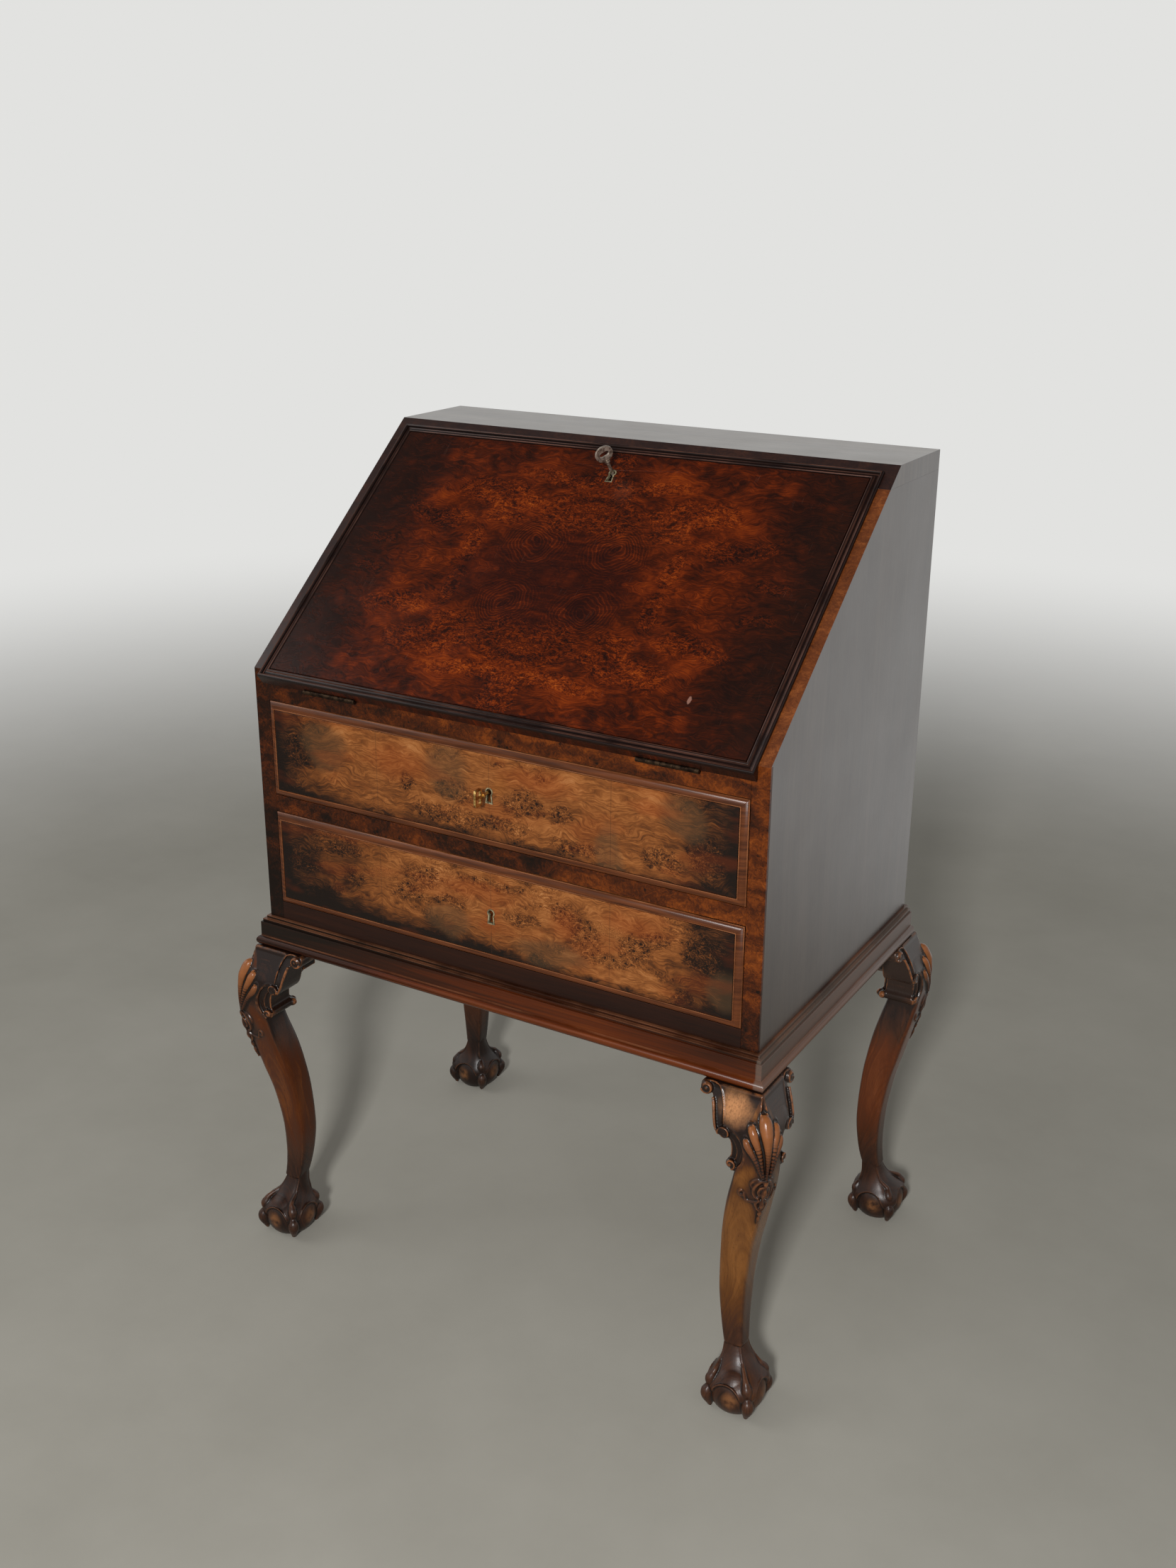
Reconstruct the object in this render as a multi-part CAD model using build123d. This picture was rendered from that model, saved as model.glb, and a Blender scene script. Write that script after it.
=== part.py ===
from build123d import *
import math
import os

# Slant front writing bureau on a stand with four cabriole legs.
# Millimetres, +Z up, front towards -Y. The origin is on the floor under the middle of the case.

# Stand heights, from the floor up
leg_height = 406.6
bead_height = 12.2
frieze_height = 18.2
cap_height = 7.2

# Case, overall
case_width = 650.0
case_depth = 424.0
top_depth = 122.5
front_height = 312.8
slant_rise = 246.7

# Case boards
side_thickness = 20.0
top_thickness = 22.0
back_thickness = 10.0
bottom_thickness = 12.0
desk_thickness = 16.0
dust_thickness = 8.0
facing_thickness = 4.0
rail_depth = 24.0

# Front, from the writing surface down
desk_drop = 16.5
top_rail_height = 19.5
upper_opening_height = 116.6
middle_rail_height = 20.4
bottom_rail_height = 22.5

# Fall
hinge_proud = 3.0
fall_side_gap = 0.5
lip_reach = 6.5
lip_gap = 0.3
lip_proud = 5.0
lip_top_margin = 13.0
foot_clearance = 0.9
fall_moulding_width = 12.5
field_proud = 4.0

# Fall hinges
hinge_start = 178.0
hinge_length = 72.0
knuckle_count = 5
knuckle_radius = 3.0
knuckle_gap = 0.3
hinge_pin_radius = 1.5
pin_clearance = 0.05
leaf_thickness = 1.6
leaf_reach = 37.0

# Elbow stays of the fall
stay_plate_thickness = 1.5
stay_plate_size = 34.0
stay_gap = 0.3
link_thickness = 2.5
link_width = 10.0
stud_radius = 2.5
stud_head_radius = 4.0
stud_head_thickness = 1.2
elbow_clearance = 0.25
stay_back = 125.0
stay_rise = 38.0
bracket_stand_off = 10.0
bracket_thickness = 2.0
bracket_width = 14.0
bracket_foot = 18.0

# Locks, keyholes and keys
lock_width = 50.0
lock_below = 16.0
lock_wall = 1.2
bolt_width = 18.0
bolt_thickness = 4.0
fall_bolt_throw = 8.0
drawer_bolt_throw = 4.0
bolt_clearance = 0.3
keyhole_radius = 3.5
keyhole_neck = 1.8
keyhole_foot = 3.3
keyhole_drop = 12.2
escutcheon_rim = 1.3
escutcheon_depth = 2.5
escutcheon_proud = 0.4
shank_radius = 1.9
bit_radius = 8.0
bit_thickness = 1.6
bit_gap = 0.6
collar_radius = 3.2
collar_length = 2.4
bow_thickness = 2.6
fall_key_margin = 55.5
fall_lock_thickness = 9.0
fall_bow_reach = 42.0
fall_bow_radius = 10.5
fall_bow_eye_length = 12.0
fall_bow_eye_width = 7.0
fall_bow_turn = 40.0
drawer_bow_reach = 27.5
drawer_bow_height = 20.0
drawer_bow_depth = 13.0
drawer_bow_border = 2.4

# Drawers
drawer_gap = 0.8
runner_gap = 0.3
front_core_thickness = 15.2
moulding_seat = 0.8
panel_proud = 4.5
drawer_moulding_width = 9.0
drawer_side_thickness = 10.0
drawer_side_drop = 0.5
drawer_side_shoulder = 4.0
drawer_bottom_thickness = 5.0
drawer_bottom_rise = 4.0
drawer_back_gap = 8.0
drawer_lock_thickness = 10.0
upper_key_drop = 50.7
lower_key_drop = 56.7
runner_width = 20.0

# Pigeonholes inside, behind the stays
unit_depth = 174.0
unit_clearance = 8.8
unit_board = 8.0
unit_side_x = 205.0
unit_middle_x = 100.0
small_opening_height = 60.0
small_shelf_thickness = 6.0
small_front_thickness = 8.0
small_wall = 6.0
small_gap = 0.5
small_back_gap = 24.0
knob_radius = 7.0
knob_stem_radius = 3.0
knob_stem_length = 6.0

# Stand frame
rail_reach = 9.0
rail_inset = 13.0
back_reach = 4.0
cap_reach = 7.0
cap_step = 3.5
bead_reach = 14.0
block_length = 30.0
block_width = 30.0
screw_radius = 2.0
screw_head_radius = 4.0
screw_head_height = 2.5
screw_bite = 8.0

# Cabriole legs, measured from the case's corner: reach is outwards, inset is inwards
knee_reach = 34.5
shank_inset = 25.8
leg_corner_radius = 5.4
post_height = 34.0
post_inset = 35.0
post_shoulder = 30.0
foot_offset = 3.75
ball_radius = 31.0
ball_centre = 28.0
toe_radius = 8.5

# Carved brackets beside the knees
ear_length = 57.5
ear_drop = 88.0
ear_root = 6.0
ear_depth = 18.0
ear_proud = 31.5

overrun = 60.0

# Derived places
half_width = case_width / 2
half_depth = case_depth / 2
front_y = -half_depth
back_y = half_depth
inner_x = half_width - side_thickness
bead_top = leg_height + bead_height
frieze_top = bead_top + frieze_height
stand_top = frieze_top + cap_height
kink_z = stand_top + front_height
case_top = kink_z + slant_rise
desk_z = kink_z - desk_drop
upper_opening_top = desk_z - top_rail_height
upper_opening_low = upper_opening_top - upper_opening_height
lower_opening_top = upper_opening_low - middle_rail_height
lower_opening_low = stand_top + bottom_rail_height
back_inner_y = back_y - back_thickness
rail_back_y = front_y + rail_depth

slant_run = case_depth - top_depth
slope = math.atan2(slant_rise, slant_run)
slant_length = math.hypot(slant_rise, slant_run)
slant = Plane(origin=(0, front_y, kink_z), x_dir=(1, 0, 0), z_dir=(0, -math.sin(slope), math.cos(slope)))

axis_y = front_y - hinge_proud
axis_z = desk_z
axis_s = -(hinge_proud * math.cos(slope) + desk_drop * math.sin(slope))
core_depth = desk_drop * math.cos(slope) - hinge_proud * math.sin(slope)
foot_s = axis_s + foot_clearance
lip_x = inner_x + lip_reach
lip_top_s = slant_length - lip_top_margin
core_top_s = lip_top_s - lip_reach
fall_core_x = inner_x - fall_side_gap
field_x = lip_x - fall_moulding_width
unit_y = back_inner_y - unit_depth
unit_top = desk_z + (unit_y - axis_y) * math.tan(slope) - unit_clearance

parts = {}


def keep(name, *shapes):
    """Store the solids of a piece under its node name."""
    solids = [solid for shape in shapes for solid in shape.solids()]
    parts[name] = solids[0] if len(solids) == 1 else Compound(solids)


def block(x0, x1, y0, y1, z0, z1):
    """Box between two corners."""
    return Pos((x0 + x1) / 2, (y0 + y1) / 2, (z0 + z1) / 2) * Box(x1 - x0, y1 - y0, z1 - z0)


def slant_block(x0, x1, s0, s1, d0, d1):
    """Box in the frame of the slant: s runs up the slope, d runs out of it."""
    return slant.location * block(x0, x1, s0, s1, d0, d1)


def outline(start, *steps):
    """Closed flat face. A step is the next point, or an arc's middle point and end point."""
    edges = []
    here = start
    for step in steps:
        if isinstance(step[0], tuple):
            middle, end = step
            edges.append(ThreePointArc(here, middle, end))
        else:
            end = step
            edges.append(Line(here, end))
        here = end
    edges.append(Line(here, start))
    return make_face(edges)


def share_outline(shares, width, low, high):
    """Outline whose points are shares of a width and of the height between low and high."""
    def place(point):
        if isinstance(point[0], tuple):
            return tuple(place(inner) for inner in point)
        return (point[0] * width, low + point[1] * (high - low))
    return outline(*[place(point) for point in shares])


def side_view(face, x0, x1):
    """Solid between x0 and x1 whose view from the side (y, z) is the face."""
    return extrude(Plane.YZ.offset(x0).location * face, amount=x1 - x0, dir=(1, 0, 0))


def pin(point, radius, x0, x1):
    """Round pin along X through a point given as (y, z)."""
    return Pos((x0 + x1) / 2, point[0], point[1]) * Rot(0, 90, 0) * Cylinder(radius, x1 - x0)


def bar(start, end, width, x0, x1):
    """Flat bar with round ends between two pivots given as (y, z)."""
    turn = math.degrees(math.atan2(end[1] - start[1], end[0] - start[0]))
    face = Pos((start[0] + end[0]) / 2, (start[1] + end[1]) / 2) * Rot(0, 0, turn) * \
        SlotCenterToCenter(math.dist(start, end), width)
    return side_view(face, x0, x1)


def strip(profile, width, length, first_mitre=True, last_mitre=True):
    """Moulding along X with its outer edge at y=0, mitred or square at its two ends."""
    first = width if first_mitre else 0
    last = width if last_mitre else 0
    half = length / 2
    plan = outline((-half, 0), (half, 0), (half - last, width), (-half + first, width))
    height = profile.bounding_box().max.Y + overrun
    return side_view(profile, -half, half) & extrude(plan, amount=height, both=True)


def frame_of_strips(profile, width, length_x, length_y):
    """Four mitred mouldings round a rectangle centred on the origin."""
    across = strip(profile, width, length_x)
    upright = strip(profile, width, length_y)
    return [
        Pos(0, -length_y / 2, 0) * across,
        Pos(0, length_y / 2, 0) * Rot(0, 0, 180) * across,
        Pos(-length_x / 2, 0, 0) * Rot(0, 0, -90) * upright,
        Pos(length_x / 2, 0, 0) * Rot(0, 0, 90) * upright,
    ]


def both_sides(shape):
    """The shape and its mirror image on the other side of the middle."""
    return [shape, mirror(shape, Plane.YZ)]


def three_sided(profile, width, reach):
    """Mouldings round the front and the two sides of the stand, square at the back."""
    front = Pos(0, front_y - reach, 0) * strip(profile, width, case_width + reach + reach)
    run = case_depth + reach + back_reach
    side = strip(profile, width, run, last_mitre=False)
    side = Pos(half_width + reach, (back_reach - reach) / 2, 0) * Rot(0, 0, 90) * side
    return [front, *both_sides(side)]


# Carcase
def make_sides():
    profile = outline(
        (front_y + facing_thickness, stand_top),
        (back_y, stand_top),
        (back_y, case_top - top_thickness),
        (front_y + (case_top - top_thickness - kink_z) / math.tan(slope), case_top - top_thickness),
        (front_y, kink_z),
        (front_y + facing_thickness, kink_z),
    )
    right, left = both_sides(side_view(profile, inner_x, half_width))
    keep("side_right", right)
    keep("side_left", left)
    right, left = both_sides(
        block(inner_x, half_width, front_y, front_y + facing_thickness, stand_top, kink_z)
    )
    keep("stile_right", right)
    keep("stile_left", left)


def make_top(fall_mortise):
    under = case_top - top_thickness
    profile = outline(
        (front_y + (under - kink_z) / math.tan(slope), under),
        (back_y, under),
        (back_y, case_top),
        (front_y + slant_run, case_top),
    )
    board = side_view(profile, -half_width, half_width)
    rebate = slant_block(-inner_x, inner_x, 0, core_top_s + lip_gap, -overrun, overrun)
    keep("top_board", board - rebate - fall_mortise)


def make_case_boards(upper_mortise, lower_mortise, leaf_recess):
    keep("back_panel", block(-inner_x, inner_x, back_inner_y, back_y, stand_top, case_top - top_thickness))
    bottom = block(-inner_x, inner_x, rail_back_y, back_inner_y, stand_top, stand_top + bottom_thickness)
    keep("case_bottom", bottom - screw_holes)
    keep("bottom_rail", block(-inner_x, inner_x, front_y, rail_back_y, stand_top, lower_opening_low))
    middle = block(-inner_x, inner_x, front_y, rail_back_y, lower_opening_top, upper_opening_low)
    keep("middle_rail", middle - lower_mortise)
    rail = block(-inner_x, inner_x, front_y, rail_back_y, upper_opening_top, desk_z)
    keep("top_rail", rail - leaf_recess - upper_mortise)
    desk = block(-inner_x, inner_x, rail_back_y, back_inner_y, desk_z - desk_thickness, desk_z)
    keep("desk_board", desk - leaf_recess)
    dust_low = lower_opening_top + (middle_rail_height - dust_thickness) / 2
    dust_high = dust_low + dust_thickness
    keep("dust_panel", block(-inner_x, inner_x, rail_back_y, back_inner_y, dust_low, dust_high))
    runner_x = inner_x - runner_width
    lower = block(runner_x, inner_x, rail_back_y, back_inner_y, stand_top + bottom_thickness, lower_opening_low)
    upper = block(runner_x, inner_x, rail_back_y, back_inner_y, dust_high, upper_opening_low)
    keep("drawer_runners", *both_sides(lower), *both_sides(upper))


# Hinges of the fall
def leaf_knuckles(first):
    """Every other knuckle of one hinge, and the room that the other leaf must leave for them."""
    pitch = hinge_length / knuckle_count
    barrels = []
    rooms = []
    for index in range(first, knuckle_count, 2):
        low = hinge_start + index * pitch
        high = low + pitch
        barrels.append(pin((axis_y, axis_z), knuckle_radius, low + knuckle_gap / 2, high - knuckle_gap / 2))
        rooms.append(pin((axis_y, axis_z), knuckle_radius + knuckle_gap, low, high))
    return barrels, rooms


def make_hinges():
    """Two backflap hinges. Returns what their leaves need cut from the case and from the fall."""
    end = hinge_start + hinge_length
    case_plate = block(hinge_start, end, axis_y, axis_y + leaf_reach, desk_z - leaf_thickness, desk_z)
    fall_plate = slant_block(
        hinge_start, end, axis_s, axis_s + leaf_reach, -core_depth, leaf_thickness - core_depth
    )
    case_barrels, case_rooms = leaf_knuckles(0)
    fall_barrels, fall_rooms = leaf_knuckles(1)
    axle = pin((axis_y, axis_z), hinge_pin_radius, hinge_start, end)
    bore = pin((axis_y, axis_z), hinge_pin_radius + pin_clearance, hinge_start, end)
    case_leaf = case_plate - fall_rooms + case_barrels - axle
    fall_leaf = fall_plate - case_rooms + fall_barrels - bore
    barrel_room = pin((axis_y, axis_z), knuckle_radius + knuckle_gap, hinge_start - knuckle_gap, end + knuckle_gap)
    keep("case_hinge_leaves", *both_sides(case_leaf))
    keep("fall_hinge_leaves", *both_sides(fall_leaf))
    keep("hinge_pins", *both_sides(axle))
    return both_sides(case_plate) + both_sides(barrel_room), both_sides(fall_plate) + both_sides(barrel_room)


# Locks
def keyhole(grow):
    """Keyhole outline, grown by a rim, with the key's axis at the origin."""
    skirt = outline(
        (-keyhole_neck - grow, 0),
        (-keyhole_foot - grow, -keyhole_drop - grow),
        (keyhole_foot + grow, -keyhole_drop - grow),
        (keyhole_neck + grow, 0),
    )
    return Circle(keyhole_radius + grow) + skirt


def through(face, low, high):
    """The face extruded from the level low to the level high."""
    return extrude(Pos(0, 0, low) * face, amount=high - low, dir=(0, 0, 1))


class Lock:
    """Lock in its own frame: key axis at the origin, +Y towards the bolt's edge, +Z out of the face."""

    def __init__(self, place, reach, back, thickness, throw):
        half = lock_width / 2
        half_bolt = bolt_width / 2
        front = back + thickness
        bolt_low = back + (thickness - bolt_thickness) / 2
        bolt_high = bolt_low + bolt_thickness
        body = block(-half, half, -lock_below, reach, back, front)
        room = block(
            lock_wall - half, half - lock_wall, lock_wall - lock_below, reach - lock_wall,
            back + lock_wall, front - lock_wall,
        )
        slot_x = half_bolt + bolt_clearance
        slot_low = bolt_low - bolt_clearance
        slot_high = bolt_high + bolt_clearance
        slot = block(-slot_x, slot_x, 0, reach + overrun, slot_low, slot_high)
        entry = through(keyhole(0), front - lock_wall, front)
        self.place = place.location
        self.case = self.place * (body - room - slot - entry)
        self.bolt = self.place * block(-half_bolt, half_bolt, bit_radius + bit_gap, reach, bolt_low, bolt_high)
        socket_top = reach + throw + drawer_gap + bolt_clearance
        self.mortise = self.place * block(-slot_x, slot_x, reach, socket_top, slot_low, slot_high)
        self.wood_cut = self.place * (body + through(keyhole(escutcheon_rim), front, overrun))
        rim = through(keyhole(escutcheon_rim) - keyhole(0), -escutcheon_depth, escutcheon_proud)
        self.escutcheon = self.place * rim
        self.bit_low = back + lock_wall + bit_gap
        self.bit_high = front - lock_wall - bit_gap

    def key(self, bow, bow_start, bow_turn=0):
        """Key with its bit in the lock, and a flat bow after a collar, upright or turned on the shank."""
        half_bit = bit_thickness / 2
        shank = Pos(0, 0, (self.bit_low + bow_start) / 2) * Cylinder(shank_radius, bow_start - self.bit_low)
        collar = Pos(0, 0, bow_start - collar_length) * Cylinder(collar_radius, collar_length)
        bit = block(-half_bit, half_bit, -bit_radius, 0, self.bit_low, self.bit_high)
        flat = Rot(0, 0, -bow_turn) * side_view(bow, -bow_thickness / 2, bow_thickness / 2)
        return self.place * (shank + collar + bit + flat)


# Fall
def make_fall(fall_recess, lock):
    panel = slant_block(-fall_core_x, fall_core_x, foot_s, core_top_s, -core_depth, lip_gap)
    front_room = block(-half_width, half_width, front_y - overrun, front_y - lip_gap, desk_z - overrun, kink_z)
    panel += slant_block(-lip_x, lip_x, foot_s, 0, -core_depth, lip_gap) & front_room
    field_low = foot_s + fall_moulding_width
    field_high = lip_top_s - fall_moulding_width
    panel += slant_block(-field_x, field_x, field_low, field_high, 0, field_proud)
    keep("fall_panel", panel - fall_recess - lock.wood_cut)

    profile = share_outline(fall_moulding_shares, fall_moulding_width, lip_gap, lip_proud)
    ring = frame_of_strips(profile, fall_moulding_width, lip_x + lip_x, lip_top_s - foot_s)
    place = slant.location * Pos(0, (foot_s + lip_top_s) / 2, 0)
    keep("fall_moulding", *[place * piece for piece in ring])

    keep("fall_lock", lock.case)
    keep("fall_escutcheon", lock.escutcheon)
    keep("fall_bolt", lock.bolt)
    bow_centre = fall_bow_reach - fall_bow_radius
    eye = SlotOverall(fall_bow_eye_length, fall_bow_eye_width)
    bow = Pos(0, bow_centre) * (Circle(fall_bow_radius) - eye)
    keep("fall_key", lock.key(bow, bow_centre - fall_bow_radius + drawer_bow_border / 2, fall_bow_turn))


fall_moulding_shares = (
    (0, 0), (0, 0.55), ((0.16, 1), (0.32, 0.6)), (0.32, 0.42), ((0.5, 0.33), (0.67, 0.45)),
    (0.67, 0.58), ((0.79, 0.93), (0.91, 0.62)), (0.91, 0.3), (1, 0.3), (1, 0),
)
drawer_moulding_shares = (
    (0, 0), (0, 0.12), ((0.3, 0.62), (0.8, 0.86)), (0.8, 1), (0.93, 1), (0.93, 0.45), (1, 0.45), (1, 0),
)


# Elbow stays: the fall, two links and the case form a parallelogram, open at the elbow rivet
def make_stays():
    fall_pivot = (
        axis_y + stay_back * math.cos(slope) + bracket_stand_off * math.sin(slope),
        axis_z + stay_back * math.sin(slope) - bracket_stand_off * math.cos(slope),
    )
    case_pivot = (axis_y + stay_back, axis_z + stay_rise)
    elbow = (fall_pivot[0] + stay_back, fall_pivot[1] + stay_rise)

    plate_x = inner_x - stay_plate_thickness
    first_high = plate_x - stay_gap
    first_low = first_high - link_thickness
    second_high = first_low - stay_gap
    second_low = second_high - link_thickness
    ear_high = second_low - stay_gap
    ear_low = ear_high - bracket_thickness

    half_plate = stay_plate_size / 2
    plate = block(
        plate_x, inner_x, case_pivot[0] - half_plate, case_pivot[0] + half_plate,
        case_pivot[1] - half_plate, case_pivot[1] + half_plate,
    )
    stud = pin(case_pivot, stud_radius, first_low - stay_gap, plate_x)
    head = pin(case_pivot, stud_head_radius, second_high - stud_head_thickness, second_high)
    keep("stay_case_plates", *both_sides(plate + stud + head))

    first = bar(case_pivot, elbow, link_width, first_low, first_high)
    first -= pin(case_pivot, stud_radius + pin_clearance, first_low, first_high)
    rivet = pin(elbow, stud_radius, second_low - stay_gap, first_low)
    rivet_head = pin(elbow, stud_head_radius, ear_high - stud_head_thickness, ear_high)
    right, left = both_sides(first + rivet + rivet_head)
    keep("stay_case_link_right", right)
    keep("stay_case_link_left", left)

    second = bar(fall_pivot, elbow, link_width, second_low, second_high)
    second -= pin(fall_pivot, stud_radius + pin_clearance, second_low, second_high)
    second -= pin(elbow, stud_radius + elbow_clearance, second_low, second_high)
    right, left = both_sides(second)
    keep("stay_fall_link_right", right)
    keep("stay_fall_link_left", left)

    pivot_s = axis_s + stay_back
    half_bracket = bracket_width / 2
    pivot_depth = core_depth + bracket_stand_off
    foot = slant_block(
        ear_high - bracket_foot, ear_high, pivot_s - half_bracket, pivot_s + half_bracket,
        -core_depth - bracket_thickness, -core_depth,
    )
    tab = slant_block(
        ear_low, ear_high, pivot_s - half_bracket, pivot_s + half_bracket,
        -pivot_depth - half_bracket, -core_depth,
    )
    stub = pin(fall_pivot, stud_radius, ear_high, second_high)
    keep("stay_fall_brackets", *both_sides(foot + tab + stub))


# Drawers
class Drawer:
    """A long drawer with a cross-banded front, a lock and a raised moulding round its panel."""

    def __init__(self, name, low, high, key_drop):
        self.name = name
        self.low = low + drawer_gap
        self.high = high - drawer_gap
        self.half = inner_x - drawer_gap
        self.face_y = front_y - panel_proud
        self.core_y = front_y + moulding_seat
        self.back_y = self.core_y + front_core_thickness
        place = Plane(origin=(0, self.face_y, self.high - key_drop), x_dir=(1, 0, 0), z_dir=(0, -1, 0))
        board_back = self.face_y - self.back_y
        self.lock = Lock(place, key_drop, board_back, drawer_lock_thickness, drawer_bolt_throw)

    def make(self):
        width = drawer_moulding_width
        board = block(-self.half, self.half, self.core_y, self.back_y, self.low, self.high)
        panel_x = self.half - width
        panel = block(-panel_x, panel_x, self.face_y, self.core_y, self.low + width, self.high - width)
        keep(self.name + "_front", board + panel - self.lock.wood_cut)

        profile = share_outline(drawer_moulding_shares, width, 0, self.core_y - self.face_y)
        place = Plane(
            origin=(0, self.core_y, (self.low + self.high) / 2), x_dir=(1, 0, 0), z_dir=(0, -1, 0)
        )
        ring = frame_of_strips(profile, width, self.half + self.half, self.high - self.low)
        keep(self.name + "_moulding", *[place.location * piece for piece in ring])

        end_y = back_inner_y - drawer_back_gap
        side_low = self.low - drawer_side_drop
        side_high = self.high - drawer_side_shoulder
        side_x = self.half - drawer_side_thickness
        side = block(side_x, self.half, self.back_y, end_y, side_low, side_high)
        keep(self.name + "_sides", *both_sides(side))
        bottom_low = side_low + drawer_bottom_rise
        bottom_high = bottom_low + drawer_bottom_thickness
        rear_y = end_y - drawer_side_thickness
        keep(self.name + "_back", block(-side_x, side_x, rear_y, end_y, bottom_high, side_high))
        keep(self.name + "_bottom", block(-side_x, side_x, self.back_y, end_y, bottom_low, bottom_high))
        keep(self.name + "_lock", self.lock.case)
        keep(self.name + "_escutcheon", self.lock.escutcheon)
        keep(self.name + "_bolt", self.lock.bolt)


def drawer_bow():
    """Pierced bow of the drawer key: a rounded plate with two windows."""
    centre = drawer_bow_reach - drawer_bow_depth / 2
    plate = RectangleRounded(drawer_bow_height, drawer_bow_depth, drawer_bow_depth * bow_corner_share)
    window_width = (drawer_bow_height - 3 * drawer_bow_border) / 2
    window = RectangleRounded(
        window_width, drawer_bow_depth - drawer_bow_border - drawer_bow_border, window_width * bow_corner_share
    )
    shift = (window_width + drawer_bow_border) / 2
    return Pos(0, centre) * (plate - Pos(shift, 0) * window - Pos(-shift, 0) * window)


bow_corner_share = 0.3


# Pigeonholes and their little drawer
def make_pigeonholes():
    low = desk_z
    high = unit_top - unit_board
    half_board = unit_board / 2
    shelf = block(-inner_x, inner_x, unit_y, back_inner_y, high, unit_top)
    cell_x = unit_middle_x - half_board
    shelf_low = desk_z + small_opening_height
    small = block(-cell_x, cell_x, unit_y, back_inner_y, shelf_low, shelf_low + small_shelf_thickness)
    keep("pigeonhole_shelves", shelf, small)
    uprights = []
    for x in (unit_middle_x, unit_side_x):
        upright = block(x - half_board, x + half_board, unit_y, back_inner_y, low, high)
        uprights.extend(both_sides(upright))
    keep("pigeonhole_uprights", *uprights)

    half = cell_x - small_gap
    top = shelf_low - small_gap
    base = desk_z + runner_gap
    wall_y = unit_y + small_front_thickness
    end_y = back_inner_y - small_back_gap
    keep("small_drawer_front", block(-half, half, unit_y, wall_y, base, top))
    box_top = top - small_wall
    box = block(-half, half, wall_y, end_y, base, box_top)
    box -= block(small_wall - half, half - small_wall, wall_y, end_y - small_wall, base + small_wall, box_top)
    keep("small_drawer_box", box)
    knob_z = (base + top) / 2
    stem = Pos(0, unit_y - knob_stem_length / 2, knob_z) * Rot(90, 0, 0)
    ball = Pos(0, unit_y - knob_stem_length, knob_z) * Sphere(knob_radius)
    ball &= block(-overrun, overrun, unit_y - overrun, unit_y - knob_stem_length / 2, desk_z, high)
    keep("small_drawer_knob", stem * Cylinder(knob_stem_radius, knob_stem_length) + ball)


# Stand
def corner_pair(shape):
    """The shape at the right front corner and at the right back corner, built for the back one."""
    placed = Pos(half_width, half_depth, 0) * shape
    return [placed, mirror(placed, Plane.XZ)]


def make_stand_frame():
    rail_profile = outline(
        (0, leg_height), (rail_reach + rail_inset, leg_height),
        (rail_reach + rail_inset, frieze_top), (0, frieze_top),
    )
    rails = three_sided(rail_profile, rail_reach + rail_inset, rail_reach)
    back_x = half_width - rail_inset
    rails.append(block(-back_x, back_x, back_y - rail_inset, back_y + back_reach, leg_height, frieze_top))
    keep("stand_rails", *rails)

    cap_middle = frieze_top + cap_height / 2
    cap_profile = outline(
        (0, frieze_top), (cap_reach + rail_inset, frieze_top), (cap_reach + rail_inset, stand_top),
        (cap_step, stand_top), (cap_step, cap_middle), (0, cap_middle),
    )
    caps = three_sided(cap_profile, cap_reach + rail_inset, cap_reach)
    caps.append(block(-back_x, back_x, back_y - rail_inset, back_y, frieze_top, stand_top))
    bead_width = bead_reach - rail_reach
    bead_middle = leg_height + bead_height / 2
    bead_profile = outline(
        (bead_width, leg_height), ((0, bead_middle), (bead_width, bead_top)),
    )
    beads = three_sided(bead_profile, bead_width, bead_reach)
    keep("stand_mouldings", *caps, *beads)


def screw_place():
    """Middle of a corner block, from the case's corner."""
    along = post_inset + block_length / 2
    across = rail_inset + block_width / 2
    return along, across


def make_corner_blocks():
    """Glue blocks beside the leg posts, each with a screw up into the case's bottom board."""
    along = post_inset + block_length
    across = rail_inset + block_width
    low = leg_height + screw_head_height
    lower = block(-along, -post_inset, -across, -rail_inset, low, stand_top)
    x, y = screw_place()
    shank_height = stand_top + screw_bite - low
    screw = Pos(-x, -y, low + shank_height / 2) * Cylinder(screw_radius, shank_height)
    head = Pos(-x, -y, low - screw_head_height / 2) * Cylinder(screw_head_radius, screw_head_height)
    blocks = [piece for side in corner_pair(lower - screw) for piece in both_sides(side)]
    screws = [piece for side in corner_pair(screw + head) for piece in both_sides(side)]
    holes = [piece for side in corner_pair(screw) for piece in both_sides(side)]
    keep("corner_blocks", *blocks)
    keep("stand_screws", *screws)
    return holes


# Cabriole leg: height, reach and inset of the square section as shares of the leg's height,
# of the knee's reach and of the shank's inset
leg_shares = (
    (1.0, 0.275, 0.31), (0.985, 0.38, 0.31), (0.97, 0.55, 0.31), (0.936, 0.783, 0.31),
    (0.899, 0.922, 0.31), (0.862, 0.971, 0.31), (0.828, 1.0, 0.31), (0.784, 1.0, 0.29),
    (0.757, 0.957, 0.368), (0.712, 0.826, 0.504), (0.668, 0.71, 0.62), (0.619, 0.594, 0.725),
    (0.579, 0.481, 0.795), (0.543, 0.371, 0.853), (0.503, 0.261, 0.903), (0.444, 0.151, 0.961),
    (0.39, 0.075, 0.988), (0.338, 0.046, 1.0), (0.284, 0.058, 0.957), (0.24, 0.096, 0.884),
    (0.203, 0.151, 0.81), (0.179, 0.223, 0.756), (0.152, 0.348, 0.717), (0.113, 0.522, 0.426),
)
corner_share = 0.3
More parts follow.
